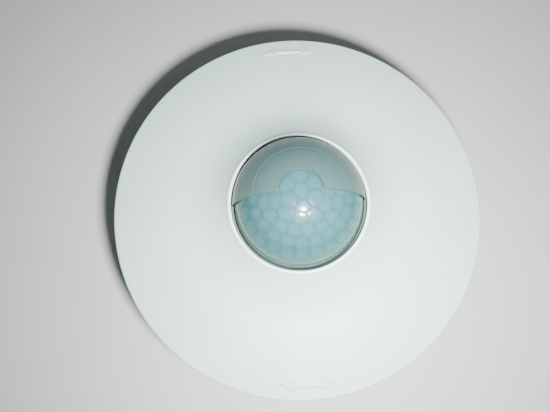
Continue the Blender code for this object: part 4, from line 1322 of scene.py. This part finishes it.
def lamp_plastic():
    """Diffused red epoxy, deeper in the middle than at the skin."""
    look = Look("lamp_epoxy", 0.14, Subsurface_Weight=0.5, Subsurface_Scale=0.001, IOR=1.5, Coat_Weight=0.3,
                Coat_Roughness=0.05, Subsurface_Radius=(1, 0.2, 0.1))
    cloud = look.noise(700)
    look.colour(look.mix(cloud, 0.35, 0.65, (0.42, 0.012, 0.010), (0.60, 0.030, 0.022)))
    return look.finished((cloud, 0.10, 0.20), (look.noise(2200, 2, 0.5), 0.004))


def coil_and_core():
    """Yellow winding tape in turns round the coil; the ferrite core is told apart by where it stands."""
    look = Look("coil_tape", 0.42)
    x, y, z = look.axes()
    side = look.math("ABSOLUTE", look.math("ADD", x, 0.011), 0)
    height = look.math("ABSOLUTE", look.math("SUBTRACT", z, (BOARD_TOP + 3.9) * MM), 0)
    depth = look.math("ABSOLUTE", look.math("ADD", y, 0.003), 0)
    outside = look.math("MAXIMUM", look.math("GREATER_THAN", side, 0.00445),
                        look.math("GREATER_THAN", height, 0.00265))
    core = look.times(outside, look.math("LESS_THAN", depth, 0.00275))
    turns = look.noise(900, 2, 0.5, look.stretched((0.02, 2, 0.02)))
    tape = look.mix(turns, 0.35, 0.65, (0.62, 0.40, 0.035), (0.78, 0.55, 0.075))
    ferrite = look.mix(look.noise(1200, 4, 0.7), 0.3, 0.7, (0.018, 0.017, 0.018), (0.050, 0.048, 0.050))
    look.colour(look.blend(core, tape, ferrite))
    look.join(look.spread(core, 0, 1, 0.34, 0.75), look.shader.inputs["Roughness"])
    look.bump(turns, 0.03)
    look.bump(look.noise(1600), 0.012)
    return look.material


def capacitor_sleeve():
    """Shrunk blue sleeve with a pale stripe down one side; the bare top is rolled aluminium."""
    look = Look("shrunk_sleeve", 0.30, Coat_Weight=0.3, Coat_Roughness=0.15)
    top = marked(look)
    x = look.axes()[0]
    stripe = look.times(look.spread(x, 0.0120, 0.0121), look.spread(x, 0.0135, 0.0134))
    wrinkle = look.noise(420, 3, 0.6, look.stretched((1, 1, 0.25)))
    sleeve = look.mix(wrinkle, 0.35, 0.65, (0.012, 0.040, 0.150), (0.022, 0.070, 0.220))
    sleeve = look.blend(look.times(stripe, 0.8), sleeve, (0.42, 0.47, 0.55))
    metal = look.mix(look.noise(900), 0.3, 0.7, (0.62, 0.62, 0.63), (0.74, 0.74, 0.75))
    look.colour(look.blend(top, sleeve, metal))
    look.join(look.times(top, 0.95), look.shader.inputs["Metallic"])
    return look.finished((wrinkle, 0.22, 0.40), (wrinkle, 0.035))


def dipped_epoxy(name, colour, drips=0.12):
    """Dipped coating: glossy orange-peel skin, a little thicker in places."""
    look = Look(name, 0.24, Coat_Weight=0.4, Coat_Roughness=0.12)
    peel = look.noise(620, 3, 0.55)
    shade_of = look.noise(140)
    tone = look.mix(shade_of, 0.35, 0.65, shaded(colour, 0.80), shaded(colour, 1.12))
    specks = look.spread(look.noise(1500, 2), 0.70, 0.78, 0, 0.35)
    look.colour(look.blend(specks, tone, shaded(colour, 0.45)))
    return look.finished((peel, 0.16, 0.34), (peel, drips * 0.4))


def cover_plastic():
    """Satin white, with a painted highlight on the lip and painted shade, with some dust, along the arrows'
    flanks.
    """
    look = Look("white_satin", 0.55, Coat_Weight=0.25, Coat_Roughness=0.22, Specular_IOR_Level=0.95)
    tone = look.mix(look.noise(38, 4, 0.55), 0.35, 0.65, shaded(WHITE, 0.955), shaded(WHITE, 1.02))
    # Painted shade along the arrows' flanks, with some dust, in place of the relief's own shading.
    tone = look.blend(look.times(look.marks(), 0.45), tone, (0.30, 0.31, 0.27))
    # Painted highlight: the top of the lip is paler, as if lit.
    lip = look.times(look.spread(look.axes()[2], 0.04285, 0.04305),
                    look.spread(look.off_axis(), 0.01955, 0.01935))
    return grained(look, look.blend(lip, tone, (0.97, 1, 0.99)), WHITE, 0.50, 0.60, 2600, 0.006)


WHITE = (0.58, 0.78, 0.75)
# Lens colours: the top, foot and cell-middle colours are painted light, the groove colour is painted shade.
LENS_TOP_PAINTED_LIGHT = (0.058, 0.170, 0.196)
LENS_BASE = (0.032, 0.099, 0.086)
LENS_FOOT_PAINTED_LIGHT = (0.190, 0.330, 0.290)
LENS_CELL_PAINTED_LIGHT = (0.092, 0.228, 0.262)
LENS_GROOVE_PAINTED_SHADE = (0.030, 0.090, 0.098)
MASK_BAND = (0.098, 0.162, 0.145)
MASK_PANEL = (0.073, 0.135, 0.140)


def dress(obj, material):
    obj.data.materials.clear()
    obj.data.materials.append(material)


def stand_in(obj, node, material):
    """obj takes the place of a CAD node on the node's own body."""
    dress(obj, material)
    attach(obj, BODY_OF[node])
    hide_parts(node)


def stand_in_row(build, count, piece, node, material):
    """Pieces numbered from 1 for the nodes numbered alike."""
    for number in range(count):
        obj = build(number)
        obj.name = f"{piece}_{number + 1}"
        stand_in(obj, f"{node}_{number + 1}", material)


BODY_OF = {node: body for body, nodes in frame["record"]["behaviour"]["bodies"].items() for node in nodes}

stand_in(build_cover(), "cover", cover_plastic())
stand_in(build_lens(), "lens_dome", lens_plastic())
stand_in(build_mask(), "lens_mask", mask_plastic())

inner_white = moulded_plastic("white_inner", (0.62, 0.76, 0.73), 0.46, 2200, 0.008, 0.07)
black = moulded_plastic("black_moulding", (0.022, 0.023, 0.025), 0.44, 1900, 0.012, 0.30)
rotor = moulded_plastic("rotor_orange", (0.62, 0.16, 0.018), 0.40, grain=2400, mottle=0.14)
zinc = zinc_steel()
screw_zinc = turned_metal("screw_zinc", (0.60, 0.60, 0.58), (0.38, 0.37, 0.33), 0.32)
brass = turned_metal("screw_brass", (0.62, 0.42, 0.16), (0.36, 0.23, 0.09), 0.34)
nickel = sensor_can()

stand_in(build_retainer(), "lens_retainer", inner_white)
stand_in(build_head(), "head_housing", inner_white)
stand_in(build_bayonet_ring(), "bayonet_ring", inner_white)
stand_in(build_gasket(), "dome_gasket", foam())
stand_in(build_can(), "rear_can", moulded_plastic(
    "insert_grey", (0.050, 0.053, 0.057), 0.52, grain=1500, grain_depth=0.022, mottle=0.22))
stand_in(build_plate(), "support_plate", zinc)
stand_in(build_claw("spread_claw_right", 1), "claw_right", zinc)
stand_in(build_claw("spread_claw_left", -1), "claw_left", zinc)
stand_in(build_claw_screw("long_screw_right", 1, 35), "claw_screw_right", screw_zinc)
stand_in(build_claw_screw("long_screw_left", -1, 80), "claw_screw_left", screw_zinc)
stand_in(build_terminals(), "terminal_block", moulded_plastic(
    "terminal_grey", (0.36, 0.38, 0.37), 0.48, grain=1700, grain_depth=0.014, mottle=0.10))
stand_in_row(build_terminal_screw, 4, "clamp_screw", "terminal_screw", brass)

stand_in(build_sensor_board(), "sensor_board", circuit_board(
    "sensor_pcb", (0.016, 0.016, 0.018), 0.0312, 0.0303))
stand_in(build_power_board(), "power_board", circuit_board(
    "power_pcb", (0.46, 0.46, 0.44), 0.0223, 0.0160))
stand_in(build_relay(), "relay", moulded_plastic(
    "relay_case", (0.55, 0.135, 0.016), 0.34, grain=1500, mottle=0.12, Coat_Weight=0.2))
stand_in(build_transformer(), "transformer", coil_and_core())
stand_in(build_film_capacitor(), "suppressor_capacitor", moulded_plastic(
    "film_case", (0.62, 0.40, 0.045), 0.36, grain=1300, grain_depth=0.010, mottle=0.14))
stand_in(build_fuse(), "fuse", black)
stand_in(build_header(), "board_header", black)
stand_in(build_main_capacitor(), "main_capacitor", capacitor_sleeve())
stand_in(build_varistor(), "varistor", dipped_epoxy("dipped_blue", (0.030, 0.110, 0.300)))

stand_in(build_carrier(), "sensor_carrier", black)
stand_in_row(build_heat_sensor, 4, "heat_sensor", "pir_sensor", nickel)
stand_in(build_light_sensor(), "light_sensor", light_cell())
stand_in(build_lamp(), "status_lamp", lamp_plastic())

trimmer = moulded_plastic("trimmer_blue", (0.020, 0.085, 0.330), 0.36, grain=1900, mottle=0.16)
stand_in(build_pot("time_trimmer", TIME_AZIMUTH), "time_pot", trimmer)
stand_in(build_pot("light_trimmer", LUX_AZIMUTH), "light_pot", trimmer)
stand_in(build_knob("time_rotor", TIME_AZIMUTH), "time_knob", rotor)
stand_in(build_knob("light_rotor", LUX_AZIMUTH), "light_knob", rotor)
stand_in(build_switch_block(), "switch_block", black)
slider_white = moulded_plastic("slider_white", (0.70, 0.74, 0.70), 0.34, grain=2600, mottle=0.06)
stand_in_row(build_slider, 3, "slider", "switch_slider", slider_white)
stand_in(build_test_switch(), "test_switch", black)
stand_in(build_test_button(), "test_button", rotor)

# Floor, light and camera

def build_floor():
    line = (-3000, 0, 3000)
    points = [(x, y, -0.05) for y in line for x in line]
    faces = [(i, i + 1, i + 4, i + 3) for i in (0, 1, 3, 4)]
    floor = new_object("floor", points, faces)
    look = Look("pale_floor", 0.6)
    look.colour(look.mix(look.noise(9, 3, 0.5), 0.3, 0.7, (0.60, 0.60, 0.59), (0.64, 0.64, 0.63)))
    dress(floor, look.material)


def area_light(name, at, size, watts, target=(0, 0, 45), spread=180):
    light = bpy.data.lights.new(name, "AREA")
    light.shape = "DISK"
    light.size = size * MM
    light.energy = watts
    light.spread = math.radians(spread)
    obj = bpy.data.objects.new(name, light)
    obj.location = Vector(at) * MM
    obj.rotation_euler = (Vector(at) - Vector(target)).to_track_quat("Z", "Y").to_euler()
    obj.visible_camera = False
    bpy.context.scene.collection.objects.link(obj)


build_floor()
area_light("key", (13, -58, 190), 24, 0.50, target=(14, -14, 40), spread=112)
area_light("softbox", (260, -280, 600), 420, 0.24)
area_light("fill", (420, 60, 520), 420, 0.20)
world = bpy.data.worlds.new("studio")
world.use_nodes = True
world.node_tree.nodes["Background"].inputs["Color"].default_value = (0.80, 0.90, 0.95, 1)
world.node_tree.nodes["Background"].inputs["Strength"].default_value = 0.12
bpy.context.scene.world = world

camera = bpy.data.objects.new("camera", bpy.data.cameras.new("camera"))
bpy.context.scene.collection.objects.link(camera)
camera.location = Vector(CAMERA_AT) * MM
camera.rotation_euler = Euler([math.radians(a) for a in CAMERA_TURN])
camera.data.lens = CAMERA_LENS
camera.data.sensor_width = CAMERA_SENSOR
camera.data.clip_start = 0.01
bpy.context.scene.camera = camera
